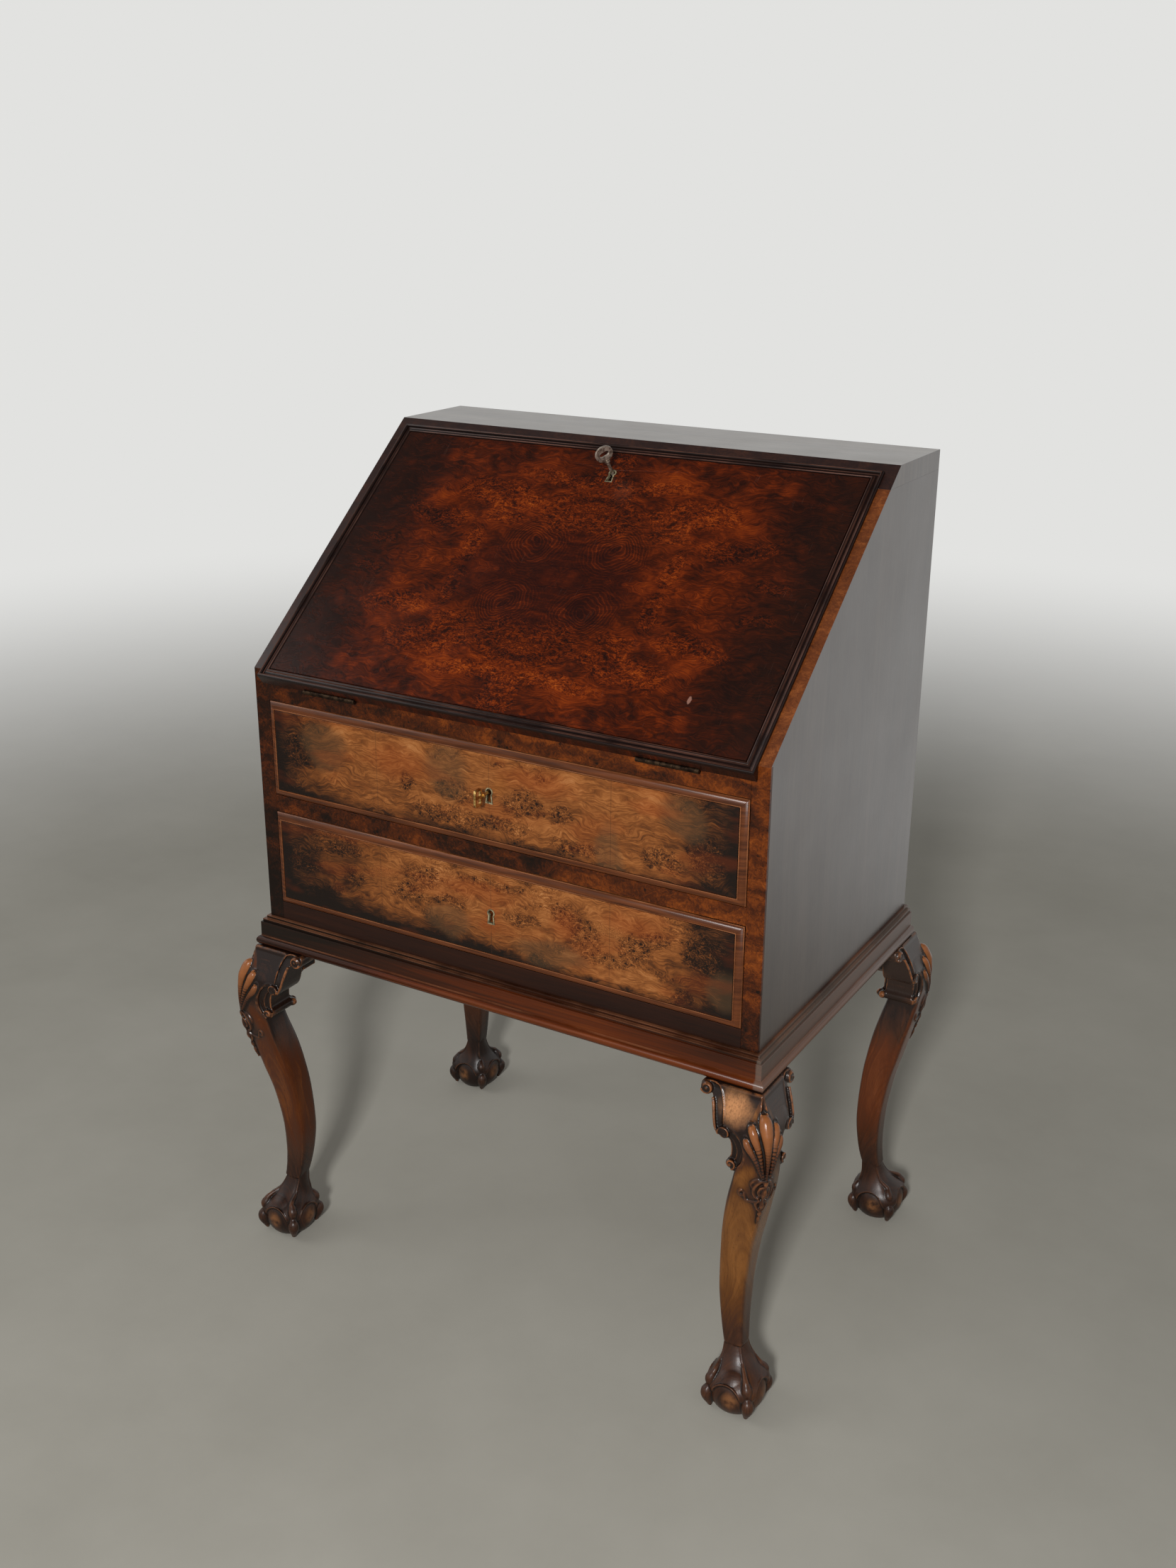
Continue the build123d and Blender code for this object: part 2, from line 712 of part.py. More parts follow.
# Toe: distance from the ball's middle and height as shares of the ball's radius, thickness of the toe
toe_shares = (
    (0.32, 2.45, 0.8), (0.65, 1.95, 0.88), (0.92, 1.5, 1.0), (1.03, 1.2, 0.8),
    (1.1, 0.84, 0.98), (1.02, 0.5, 0.75), (0.9, 0.22, 0.5), (0.78, 0.09, 0.26),
)


def toe(direction):
    """One toe with two knuckles and a talon, gripping the ball in the given direction."""
    turn = math.radians(direction)
    out = Vector(math.cos(turn), math.sin(turn), 0)
    lateral = Vector(-math.sin(turn), math.cos(turn), 0)
    centre = Vector(foot_offset, foot_offset, 0)
    points = [centre + out * (far * ball_radius) + Vector(0, 0, rise * ball_radius) for far, rise, _ in toe_shares]
    rings = []
    for index, point in enumerate(points):
        before = points[max(index - 1, 0)]
        after = points[min(index + 1, len(points) - 1)]
        ring_plane = Plane(origin=point, x_dir=lateral, z_dir=after - before)
        rings.append(ring_plane.location * Circle(toe_shares[index][2] * toe_radius))
    return loft(rings, ruled=True)


def leg_solid():
    """Leg in the frame of the case's corner, reaching out towards +X and +Y."""
    sections = []
    for height, reach, inset in leg_shares:
        out = reach * knee_reach
        back = inset * shank_inset
        middle = (out - back) / 2
        radius = min(leg_corner_radius, (out + back) * corner_share)
        sections.append(Pos(middle, middle, height * leg_height) * RectangleRounded(out + back, out + back, radius))
    shape = loft(sections[::-1], ruled=True)
    shape += block(-post_shoulder, 0, -post_shoulder, 0, leg_height - post_height, leg_height)
    shape += block(-post_inset, -rail_inset, -post_inset, -rail_inset, leg_height - post_height, frieze_top)
    ball = Pos(foot_offset, foot_offset, ball_centre) * Sphere(ball_radius)
    shape += ball - block(-overrun, overrun, -overrun, overrun, -overrun, 0)
    for direction in (45, 135, 225, 315):
        shape += toe(direction)
    return shape


# Bracket outline seen from the front, from the leg's inner face outwards: shares of its length,
# and of its drop below the bead
ear_shares = (
    (0, 1), (0.955, 1), ((1, 0.93), (0.9, 0.87)), (0.765, 0.885), ((0.65, 0.81), (0.617, 0.72)),
    (0.583, 0.556), ((0.54, 0.46), (0.417, 0.385)), (0.21, 0.317), (0.215, 0.165),
    ((0.262, 0.07), (0.157, 0)), (0, 0),
)
# Bracket seen from the side: how far it stands out, as shares of its greatest projection, and height
ear_profile_shares = (
    (0, 0), (0.95, 0), (0.985, 0.07), (1, 0.24), (0.985, 0.47), (0.86, 0.7), (0.7, 0.86), (0.667, 1), (0, 1),
)


def ear_solid(leg):
    """Carved bracket along the X side of the leg, in the frame of the case's corner."""
    low = leg_height - ear_drop
    face = share_outline(ear_shares, -ear_length, low, leg_height)
    front = extrude(Plane.XZ.location * face, amount=overrun, both=True)
    profile = share_outline(ear_profile_shares, ear_proud, low, leg_height)
    body = side_view(profile, -ear_length, -ear_root)
    body += block(-ear_length, -ear_root, -ear_depth, 0, low, leg_height)
    mitre = outline((0, 0), (-overrun, -overrun), (-overrun, overrun), (0, overrun))
    wedge = through(mitre, low - overrun, leg_height)
    return (front & body & wedge) - leg


def make_legs():
    leg = leg_solid()
    front_ear = ear_solid(leg)
    side_ear = mirror(front_ear, Plane(origin=(0, 0, 0), z_dir=(1, -1, 0)))
    back_right, front_right = corner_pair(leg)
    for end, shape in (("back", back_right), ("front", front_right)):
        right, left = both_sides(shape)
        keep("leg_" + end + "_right", right)
        keep("leg_" + end + "_left", left)
    brackets = []
    for ear in (front_ear, side_ear):
        for placed in corner_pair(ear):
            brackets.extend(both_sides(placed))
    keep("knee_brackets", *brackets)


# Assembly
key_s = slant_length - fall_key_margin
fall_lock = Lock(
    Plane(origin=slant.from_local_coords(Vector(0, key_s, field_proud)), x_dir=slant.x_dir, z_dir=slant.z_dir),
    core_top_s - key_s, -field_proud - core_depth, fall_lock_thickness, fall_bolt_throw,
)
upper_drawer = Drawer("upper_drawer", upper_opening_low, upper_opening_top, upper_key_drop)
lower_drawer = Drawer("lower_drawer", lower_opening_low, lower_opening_top, lower_key_drop)

screw_holes = make_corner_blocks()
case_recess, fall_recess = make_hinges()
make_sides()
make_top(fall_lock.mortise)
make_case_boards(upper_drawer.lock.mortise, lower_drawer.lock.mortise, case_recess)
make_fall(fall_recess, fall_lock)
make_stays()
upper_drawer.make()
lower_drawer.make()
keep("upper_drawer_key", upper_drawer.lock.key(drawer_bow(), drawer_bow_reach - drawer_bow_depth))
make_pigeonholes()
make_stand_frame()
make_legs()

os.makedirs("parts", exist_ok=True)
for name, shape in parts.items():
    export_step(shape, "parts/" + name + ".step")
print(len(parts), "nodes, hinge at y", round(axis_y, 3), "z", round(axis_z, 3))
print("fall opens by", round(180 - math.degrees(slope), 3), "degrees, key axis normal", slant.z_dir)
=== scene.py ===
# %% [markdown]
# # A slant front bureau on a carved stand
# The real piece is a small walnut desk. Its case has a sloping fall over two drawers, and it stands on
# a moulded frame with four curved legs that end in claws holding balls. The frame file already holds
# every board, rail and drawer at its exact size, so this lesson adds what a solid can't show: veneer,
# polish, wear, and the carving of the legs.

# %% Load the frame
import bpy
import math
import numpy as np
from contextlib import contextmanager
from functools import partialmethod
from mathutils import Matrix, Vector


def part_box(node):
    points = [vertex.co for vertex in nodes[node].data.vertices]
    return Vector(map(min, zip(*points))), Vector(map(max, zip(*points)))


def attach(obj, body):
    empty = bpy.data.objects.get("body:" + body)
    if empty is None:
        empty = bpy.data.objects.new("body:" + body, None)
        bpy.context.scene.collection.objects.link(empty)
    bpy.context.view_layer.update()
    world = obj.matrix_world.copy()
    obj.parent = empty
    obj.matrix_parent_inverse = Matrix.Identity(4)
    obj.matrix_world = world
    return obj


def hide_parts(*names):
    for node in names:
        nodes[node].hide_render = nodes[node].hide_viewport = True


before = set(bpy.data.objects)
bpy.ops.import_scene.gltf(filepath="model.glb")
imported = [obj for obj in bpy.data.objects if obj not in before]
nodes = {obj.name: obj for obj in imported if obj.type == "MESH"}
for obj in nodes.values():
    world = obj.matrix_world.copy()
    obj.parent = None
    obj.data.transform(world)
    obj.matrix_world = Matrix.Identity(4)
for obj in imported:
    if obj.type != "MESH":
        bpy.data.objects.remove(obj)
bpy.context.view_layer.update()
print("pieces in the frame:", len(nodes))

# %% [markdown]
# ## Camera
# The photograph was taken from the front right, a little above the desk, looking down. A camera object
# turns about the vertical first, then tips down, then rolls by a hair, and matrices say this plainly.

# %% Camera
camera_place = (0.933, -1.5926, 1.3037)
turned_left, tipped_down, rolled = 30.477, 20.624, 0.305
bpy.ops.object.camera_add()
camera = bpy.context.object
camera.name = "camera"
turn = Matrix.Rotation(math.radians(turned_left), 4, "Z")
tip = Matrix.Rotation(math.radians(90 - tipped_down), 4, "X")
roll = Matrix.Rotation(math.radians(rolled), 4, "Z")
camera.matrix_world = Matrix.Translation(camera_place) @ turn @ tip @ roll
camera.data.lens = 38.057
camera.data.sensor_width = 36
bpy.context.scene.camera = camera
bpy.context.scene.view_settings.view_transform = "Standard"
print("camera at", tuple(round(value, 3) for value in camera.location))

# %% [markdown]
# ## A finish is a chain of nodes
# Every material below is drawn by nodes from the place of a point on the piece, so grain and wear stay
# where they are when the camera moves. The first small class adds one node per call and hands back its
# output, which keeps the recipes short enough to read. The second makes a material of such a chain.

# %% Node classes


def tint(*parts):
    """Colour in screen values, 0 to 255, as the linear values that shaders use."""
    return tuple(((part / 255 + 0.055) / 1.055) ** 2.4 if part > 10 else part / 3294 for part in parts) + (1.0,)


class Nodes:
    """A node tree that is built up one node at a time."""

    def __init__(self, tree):
        self.tree = tree

    def add(self, kind, inputs=None, **settings):
        """One node, with its own settings; inputs are fed by their name or number."""
        node = self.tree.nodes.new(kind)
        for key, value in settings.items():
            setattr(node, key, value)
        for key, value in (inputs or {}).items():
            self.feed(node.inputs[key], value)
        return node

    def feed(self, socket, value):
        if isinstance(value, bpy.types.NodeSocket):
            self.tree.links.new(value, socket)
        else:
            socket.default_value = value

    def sum(self, operation, *values, clamp=False):
        inputs = dict(enumerate(values))
        return self.add("ShaderNodeMath", inputs, operation=operation, use_clamp=clamp).outputs[0]

    plus = partialmethod(sum, "ADD")
    minus = partialmethod(sum, "SUBTRACT")
    times = partialmethod(sum, "MULTIPLY")
    scaled = partialmethod(sum, "MULTIPLY_ADD")
    least = partialmethod(sum, "MINIMUM")
    most = partialmethod(sum, "MAXIMUM")
    unsigned = partialmethod(sum, "ABSOLUTE")

    def apart(self, first, second):
        return self.unsigned(self.minus(first, second))

    def sum_of(self, *values):
        total = values[0]
        for value in values[1:]:
            total = self.plus(total, value)
        return total

    def arrow(self, operation, first, second=(0.0, 0.0, 0.0)):
        node = self.add("ShaderNodeVectorMath", {0: first, 1: second}, operation=operation)
        return node.outputs["Value" if operation in ("LENGTH", "DISTANCE") else 0]

    def split(self, place):
        return tuple(self.add("ShaderNodeSeparateXYZ", {0: place}).outputs)

    def join(self, x, y, z):
        return self.add("ShaderNodeCombineXYZ", {0: x, 1: y, 2: z}).outputs[0]

    def turned(self, place, turn):
        return self.add("ShaderNodeMapping", {"Vector": place, "Rotation": turn}, vector_type="POINT").outputs[0]

    def noise(self, place, size, detail=3.0, rough=0.5, bend=0.0):
        """Soft noise; size is the width of its patches in metres, one number or three."""
        if isinstance(size, (int, float)):
            size = (size, size, size)
        return self.add("ShaderNodeTexNoise", {
            "Vector": self.arrow("DIVIDE", place, size), "Scale": 1.0, "Detail": detail, "Roughness": rough,
            "Distortion": bend}).outputs["Fac"]

    def warped(self, place, size, reach, detail=2.0):
        """The place moved about by noise, up to the reach in metres."""
        cloud = self.add("ShaderNodeTexNoise", {"Vector": place, "Scale": 1.0 / size, "Detail": detail})
        shift = self.arrow("SUBTRACT", cloud.outputs["Color"], (0.5, 0.5, 0.5))
        return self.arrow("ADD", place, self.arrow("MULTIPLY", shift, (reach * 2, reach * 2, reach * 2)))

    def cells(self, place, size):
        return self.add("ShaderNodeTexVoronoi", {"Vector": place, "Scale": 1.0 / size}).outputs["Distance"]

    def step(self, value, low, high):
        """0 below low and 1 above high, with a soft step between; low may lie above high."""
        start, end = (1.0, 0.0) if low > high else (0.0, 1.0)
        return self.add("ShaderNodeMapRange", {
            "Value": value, "From Min": min(low, high), "From Max": max(low, high), "To Min": start,
            "To Max": end}, interpolation_type="SMOOTHSTEP").outputs["Result"]

    def near(self, value, middle, reach):
        """1 where the value meets the middle, falling to 0 at the reach on either side."""
        return self.step(self.apart(value, middle), reach, reach * 0.3)

    def patch(self, place, centre, size, soft=0.35):
        """1 in an oval round the centre, falling to 0 at its size."""
        away = self.arrow("DIVIDE", self.arrow("SUBTRACT", place, centre), size)
        return self.step(self.arrow("LENGTH", away), 1.0, soft)

    def ramp(self, value, *stops):
        node = self.add("ShaderNodeValToRGB", {"Fac": value})
        elements = node.color_ramp.elements
        while len(elements) < len(stops):
            elements.new(0.5)
        for element, (position, colour) in zip(elements, sorted(stops)):
            element.position = position
            element.color = colour
        return node.outputs["Color"]

    def mix(self, share, first, second):
        return self.add("ShaderNodeMix", {"Factor": share, 6: first, 7: second}, data_type="RGBA").outputs[2]

    def layered(self, level, *layers):
        """A level with layers on it: each is (value, amount) or (value, amount, value that adds nothing)."""
        for value, amount, *still in layers:
            level = self.scaled(self.minus(value, *still) if still else value, amount, level)
        return level

    def painted(self, colour, *coats):
        """A colour under coats of paint, each (where, how thick, colour)."""
        for where, thick, paint in coats:
            colour = self.mix(self.times(where, thick), colour, paint)
        return colour


class Finish(Nodes):
    """A material; place is the point on the piece that is being coloured."""

    def __init__(self, name):
        self.material = bpy.data.materials.new(name)
        self.material.use_nodes = True
        super().__init__(self.material.node_tree)
        self.shader = self.tree.nodes["Principled BSDF"]
        self.place = self.add("ShaderNodeTexCoord").outputs["Object"]

    def uneven(self, size, more, least):
        """Roughness that wanders in patches, from the least value up."""
        return self.scaled(self.noise(self.place, size, detail=4), more, least)

    def bump(self, height, depth, strength):
        node = self.add("ShaderNodeBump", {"Height": height, "Distance": depth, "Strength": strength})
        self.feed(self.shader.inputs["Normal"], node.outputs[0])

    def done(self, colour, roughness, specular=0.5, metallic=0.0, coat=0.0):
        for name, value in (("Base Color", colour), ("Roughness", roughness), ("Specular IOR Level", specular),
                            ("Metallic", metallic), ("Coat Weight", coat), ("Coat Roughness", 0.2)):
            self.feed(self.shader.inputs[name], value)
        return self.material


print("node classes ready")

# %% [markdown]
# ## Room and light
# A plain pale floor runs out into a pale backdrop. The main lamp hangs in front, a little to the right,
# and throws the shadows back and to the left. A weak, wide lamp on the left fills them. The sky around
# is soft, bright near the horizon and dim overhead, so the flat top shines and the fall stays dark.

# %% Floor
floor_radius = 9
horizon = tint(226, 226, 224)
bpy.ops.mesh.primitive_circle_add(vertices=96, radius=floor_radius, fill_type="NGON")
floor = bpy.context.object
floor.name = "studio_floor"
ground = Finish("studio_floor")
far_share = ground.step(ground.arrow("LENGTH", ground.place), 1.3, 4.2)
mottle = ground.noise(ground.place, 0.35, detail=6, rough=0.62)
stone = ground.mix(mottle, tint(154, 151, 141), tint(180, 177, 167))
glow = ground.add("ShaderNodeEmission", {"Color": horizon})
ray = ground.add("ShaderNodeLightPath").outputs
_, behind, _ = ground.split(ground.place)
mirrored = ground.times(ground.step(behind, 0.3, 1.7), ray["Is Glossy Ray"])
seen = ground.most(ground.times(far_share, ray["Is Camera Ray"]), mirrored)
ground.done(stone, 0.75, specular=0.2)
blend = ground.add("ShaderNodeMixShader", {0: seen, 1: ground.shader.outputs[0], 2: glow.outputs[0]})
ground.feed(ground.tree.nodes["Material Output"].inputs["Surface"], blend.outputs[0])
floor.data.materials.append(ground.material)
print("floor radius", floor_radius)

# %% Sky
world = bpy.data.worlds.new("studio")
world.use_nodes = True
bpy.context.scene.world = world
sky = Nodes(world.node_tree)
sky.tree.nodes.clear()
_, _, upwards = sky.split(sky.add("ShaderNodeTexCoord").outputs["Generated"])
bands = sky.ramp(upwards, (0.42, horizon), (0.74, tint(70, 70, 72)))
shown = sky.add("ShaderNodeBackground", {"Color": bands, "Strength": 1.0})
plain = sky.add("ShaderNodeBackground", {"Color": (1.0, 0.99, 0.975, 1), "Strength": 0.26})
ray = sky.add("ShaderNodeLightPath").outputs
seen = sky.most(sky.most(ray["Is Camera Ray"], ray["Is Glossy Ray"]), ray["Is Transmission Ray"])
chosen = sky.add("ShaderNodeMixShader", {0: seen, 1: plain.outputs[0], 2: shown.outputs[0]})
sky.add("ShaderNodeOutputWorld", {0: chosen.outputs[0]})
print("sky ready")

# %% Lamps


def lamp(name, place, aim, size, power):
    """A square soft lamp at a place, aimed at a point."""
    bpy.ops.object.light_add(type="AREA", location=place)
    light = bpy.context.object
    light.name = name
    light.data.size = size
    light.data.energy = power
    light.rotation_euler = (Vector(aim) - Vector(place)).to_track_quat("-Z", "Y").to_euler()
    return light


main_lamp = lamp("main_lamp", (1.12, -3.0, 1.9), (0, 0, 0.55), 0.35, 92)
fill_lamp = lamp("fill_lamp", (-2.4, -1.2, 2.2), (0, 0, 0.5), 1.6, 14)
print("lamps", main_lamp.data.energy, fill_lamp.data.energy)

# %% [markdown]
# ## Places on the desk
# Some patterns follow a panel: they darken towards its edges or repeat from a middle line. They need
# the panel's size, which the frame gives, so nothing is measured twice. The fall lies on a slope, and a
# point on it is turned flat before any pattern is drawn.

# %% Places
slope_rise, slope_run = 0.2467, 0.3015
slope = math.atan2(slope_rise, slope_run)
slope_foot = (0.0, -0.212, 0.757)
fall_low, fall_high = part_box("fall_moulding")
fall_half_width = (fall_high.x - fall_low.x) / 2
foot_run, top_run = -0.0118, 0.37656
fall_half_length = (top_run - foot_run) / 2
middle_run = (top_run + foot_run) / 2
fall_middle = (0.0, slope_foot[1] + middle_run * math.cos(slope), slope_foot[2] + middle_run * math.sin(slope))
seam_width = 0.0007
print("fall", round(fall_half_width * 2, 4), "by", round(fall_half_length * 2, 4))

# %% [markdown]
# ## Burr veneer of the fall
# The fall is covered with four leaves of burr walnut, opened like a book in both directions, so the
# figure mirrors left to right and top to bottom. Burr is wood from a knotty growth: it has swirls, dark
# eyes and tiny crinkles between calmer clouds. The nodes fold the place with absolute values to get
# the four leaves, bend it with noise, and add clouds, eyes, crinkles and fine streaks.

# %% Grain recipes


def crinkles(finish, place, size, bend=1.6):
    """Short twisted fibres, as burr wood has between its eyes: 0 dark, 1 bright."""
    twisted = finish.warped(place, size * 3, size * 1.5, detail=3)
    waves = finish.noise(twisted, (size, size * 0.55, size), detail=4, rough=0.6, bend=bend)
    return finish.step(waves, 0.36, 0.66)


def flowing_fibre(finish, place, width, sway, eyes, lift):
    """Fibres along x that sway with soft noise and part round every eye, like water round a stone."""
    long = 0.030
    x, y, z = finish.split(place)
    slow = finish.noise(place, (0.050, 0.030, 0.05), detail=2)
    bent_y = finish.sum_of(y, finish.times(slow, sway), finish.times(eyes, lift))
    stretched = finish.join(finish.sum("DIVIDE", x, long), finish.sum("DIVIDE", bent_y, width), z)
    return finish.step(finish.noise(stretched, 1.0, detail=3, rough=0.6), 0.30, 0.70)


def spots(finish, place, *ovals, soft=0.35):
    """The sum of soft ovals, each (x, y, half width, half height) in millimetres."""
    patches = [finish.patch(place, (x / 1000, y / 1000, 0), (wide / 1000, tall / 1000, 1), soft=soft)
               for x, y, wide, tall in ovals]
    return finish.least(finish.sum_of(*patches), 1.0)


print("recipes ready")

# %% Fall places
burr = Finish("fall_burr_veneer")
flat = burr.turned(burr.arrow("SUBTRACT", burr.place, fall_middle), (-slope, 0, 0))
across, along, off = burr.split(flat)
leaf_x, leaf_y, _ = burr.split(burr.warped(flat, 0.16, 0.008))
leaf = burr.join(burr.unsigned(leaf_x), burr.unsigned(leaf_y), 0.0)
bent = burr.warped(leaf, 0.045, 0.016, detail=3)
drifting = burr.warped(flat, 0.06, 0.030, detail=4)
drift_x, drift_y, _ = burr.split(drifting)
figured = spots(
    burr, bent, (118, 102, 74, 26), (128, 30, 16, 34), (26, 92, 48, 46), (104, 74, 28, 16), (58, 137, 70, 12),
    (150, 112, 36, 16), (178, 60, 40, 22), (222, 72, 30, 18), (252, 20, 26, 12), (8, 158, 22, 30), soft=0.5)
print("fall places ready")

# %% Fall colours
clouds = burr.noise(bent, (0.060, 0.045, 0.05), detail=5, rough=0.6, bend=0.9)
ripples = burr.noise(burr.warped(bent, 0.03, 0.012), (0.030, 0.012, 0.02), detail=4, rough=0.6, bend=1.5)
heart = spots(burr, burr.warped(flat, 0.05, 0.022, detail=3), (-8, -6, 148, 84), soft=0.55)
warm = spots(
    burr, drifting, (70, 156, 66, 30), (-90, 92, 110, 40), (-218, 100, 44, 34), (-265, -58, 48, 30),
    (196, -66, 46, 26), (145, -104, 60, 22), (40, -142, 105, 36), (-80, -130, 90, 40), (140, 100, 90, 44),
    (-180, -60, 70, 30), (252, 40, 34, 34), (0, 0, 26, 16), (-128, 30, 30, 50), (124, 20, 34, 60), soft=0.0)
eyes = spots(burr, bent, (43, 36, 12, 11), soft=0.3)
low_eye = burr.patch(drifting, (0.052, -0.044, 0), (0.026, 0.024, 1), soft=0.6)
from_eye = burr.arrow("DISTANCE", bent, (0.050, 0.042, 0))
swirls = burr.step(burr.sum("SINE", burr.times(from_eye, 1500.0)), 0.0, 1.0)
swirls = burr.times(swirls, burr.step(from_eye, 0.060, 0.020))
rim = burr.near(burr.arrow("DISTANCE", bent, (0.043, 0.036, 0)), 0.0155, 0.0035)
fibre = flowing_fibre(burr, leaf, 0.0015, 0.05, figured, 0.004)
fine_burr = crinkles(burr, leaf, 0.0056)
dots = burr.cells(burr.warped(leaf, 0.010, 0.004), 0.0070)
side_fade = burr.step(burr.unsigned(drift_x), 0.175, 0.300)
end_fade = burr.step(burr.unsigned(drift_y), 0.168, 0.205)
seam = burr.least(burr.unsigned(across), burr.unsigned(along))
level = burr.layered(
    0.38, (clouds, 0.80, 0.5), (ripples, 0.66, 0.5), (warm, 0.15), (heart, -0.14), (rim, 0.10), (eyes, -0.15),
    (low_eye, -0.12), (swirls, 0.19), (fibre, 0.22, 0.5), (burr.times(figured, burr.minus(fine_burr, 0.50)), 0.38),
    (burr.times(burr.step(dots, 0.30, 0.12), figured), -0.14),
    (burr.most(side_fade, burr.times(end_fade, 0.7)), -0.30), (burr.step(seam, seam_width, 0.0), -0.06))
fall_colour = burr.ramp(
    level, (0.0, tint(26, 11, 8)), (0.16, tint(42, 16, 8)), (0.32, tint(63, 22, 7)), (0.46, tint(88, 31, 7)),
    (0.60, tint(114, 43, 8)), (0.76, tint(140, 61, 13)), (1.0, tint(170, 88, 30)))
fall_colour = burr.painted(fall_colour, (heart, 0.28, tint(56, 18, 12)), (side_fade, 0.40, tint(38, 24, 18)))
scratch = burr.step(burr.noise(burr.warped(flat, 0.2, 0.01), (0.0006, 0.030, 0.05), detail=1), 0.70, 0.76)
scratch = burr.times(scratch, burr.step(burr.noise(flat, 0.05), 0.52, 0.6))
chip = burr.patch(burr.warped(flat, 0.004, 0.001), (0.214, -0.126, 0), (0.0026, 0.0055, 1), soft=0.6)
fall_colour = burr.mix(burr.scaled(scratch, 0.22, chip, clamp=True), fall_colour, tint(136, 98, 84))
straight = burr.noise(burr.warped(flat, 0.2, 0.010), (0.15, 0.004, 0.02), detail=4, rough=0.6)
inside = burr.ramp(straight, (0.25, tint(66, 38, 22)), (0.5, tint(92, 55, 32)), (0.75, tint(116, 73, 44)))
fall_colour = burr.mix(burr.step(off, -0.0120, -0.0128), fall_colour, inside)
burr.bump(fine_burr, 0.0003, 0.10)
burr.done(fall_colour, burr.uneven(0.05, 0.12, 0.20), specular=0.26)
print("fall veneer", burr.material.name)

# %% [markdown]
# ## Burr veneer of the drawers and rails
# The drawer fronts are lighter, golden burr in leaves 150 mm wide, each turned over against the next.
# A ping-pong node folds the place at every seam. Small eyes stand in clusters and the fibres part round
# them. The veneer is darker towards its sides and bottom edge, at both ends and most at the lower left,
# and grey clouds and red stains lie over the figure.

# %% Drawer veneer
leaf_width = 0.1505
front_inset = 0.009


def drawer_veneer(name, node, seed, left_from, low_dark, clusters, greys, reds):
    """Burr of one drawer front; clusters, greys and reds are ovals from its middle."""
    low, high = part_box(node)
    wood = Finish(name)
    x, _, z = wood.split(wood.arrow("SUBTRACT", wood.place, tuple((low + high) / 2)))
    flat = wood.join(x, z, 0.0)
    leaf = wood.join(wood.sum("PINGPONG", x, leaf_width), z, seed)
    bent = wood.warped(leaf, 0.05, 0.014, detail=3)
    loose = wood.warped(flat, 0.03, 0.012, detail=3)
    tone = wood.noise(bent, (0.060, 0.034, 0.05), detail=5, rough=0.6, bend=0.8)
    own_groups = wood.step(wood.noise(bent, (0.050, 0.030, 0.05), detail=2), 0.56, 0.66)
    groups = wood.most(spots(wood, loose, *clusters, soft=0.5), wood.times(own_groups, 0.5))
    eyes = wood.cells(wood.warped(leaf, 0.010, 0.004), 0.0076)
    pupils = wood.times(wood.step(eyes, 0.30, 0.12), groups)
    rings = wood.times(wood.near(eyes, 0.42, 0.13), groups)
    fibre = flowing_fibre(wood, bent, 0.0013, 0.040, wood.times(wood.step(eyes, 0.75, 0.0), groups), 0.0065)
    curls = wood.noise(wood.warped(bent, 0.02, 0.010), (0.022, 0.007, 0.01), detail=4, rough=0.6, bend=1.6)
    fine = wood.minus(crinkles(wood, leaf, 0.0042), 0.55)
    side = wood.minus((high.x - low.x) / 2 - front_inset, wood.unsigned(x))
    rise = wood.plus(z, (high.z - low.z) / 2 - front_inset)
    wobble = wood.scaled(wood.noise(flat, 0.02, detail=4), 0.012, -0.006)
    edge = wood.step(wood.plus(wood.least(wood.times(side, 0.6), rise), wobble), 0.011, 0.000)
    drift = wood.scaled(wood.noise(flat, 0.06, detail=4), 0.08, -0.04)
    drifted = wood.plus(x, drift)
    bottom = wood.times(wood.step(wood.scaled(drift, 0.4, z), -0.014, -0.050), wood.step(x, 0.16, -0.06))
    level = wood.layered(
        0.60, (tone, 0.58, 0.5), (curls, 0.46, 0.5), (fibre, 0.26, 0.5), (pupils, -0.46), (rings, -0.12),
        (groups, -0.06), (edge, -0.26), (wood.times(groups, fine), 0.40),
        (wood.step(drifted, left_from, -0.315), -0.48), (wood.step(drifted, 0.200, 0.285), -0.42),
        (bottom, -low_dark))
    colour = wood.ramp(
        level, (0.0, tint(20, 10, 6)), (0.18, tint(46, 24, 11)), (0.36, tint(82, 45, 19)), (0.54, tint(118, 67, 29)),
        (0.72, tint(150, 92, 46)), (1.0, tint(188, 132, 82)))
    grey = spots(wood, wood.warped(flat, 0.05, 0.016, detail=4), *greys, soft=0.55)
    stains = wood.step(wood.noise(flat, (0.09, 0.03, 0.05), detail=3), 0.50, 0.66)
    red = wood.most(spots(wood, loose, *reds, soft=0.2), wood.times(stains, 0.55))
    seam = wood.least(wood.unsigned(x), wood.apart(wood.unsigned(x), leaf_width))
    colour = wood.painted(
        colour, (grey, 0.50, tint(76, 56, 36)), (red, 0.32, tint(136, 56, 14)),
        (wood.step(seam, seam_width, 0.0), 0.5, tint(60, 38, 24)))
    wood.bump(fibre, 0.0002, 0.10)
    return wood.done(colour, wood.uneven(0.04, 0.15, 0.26), specular=0.26)


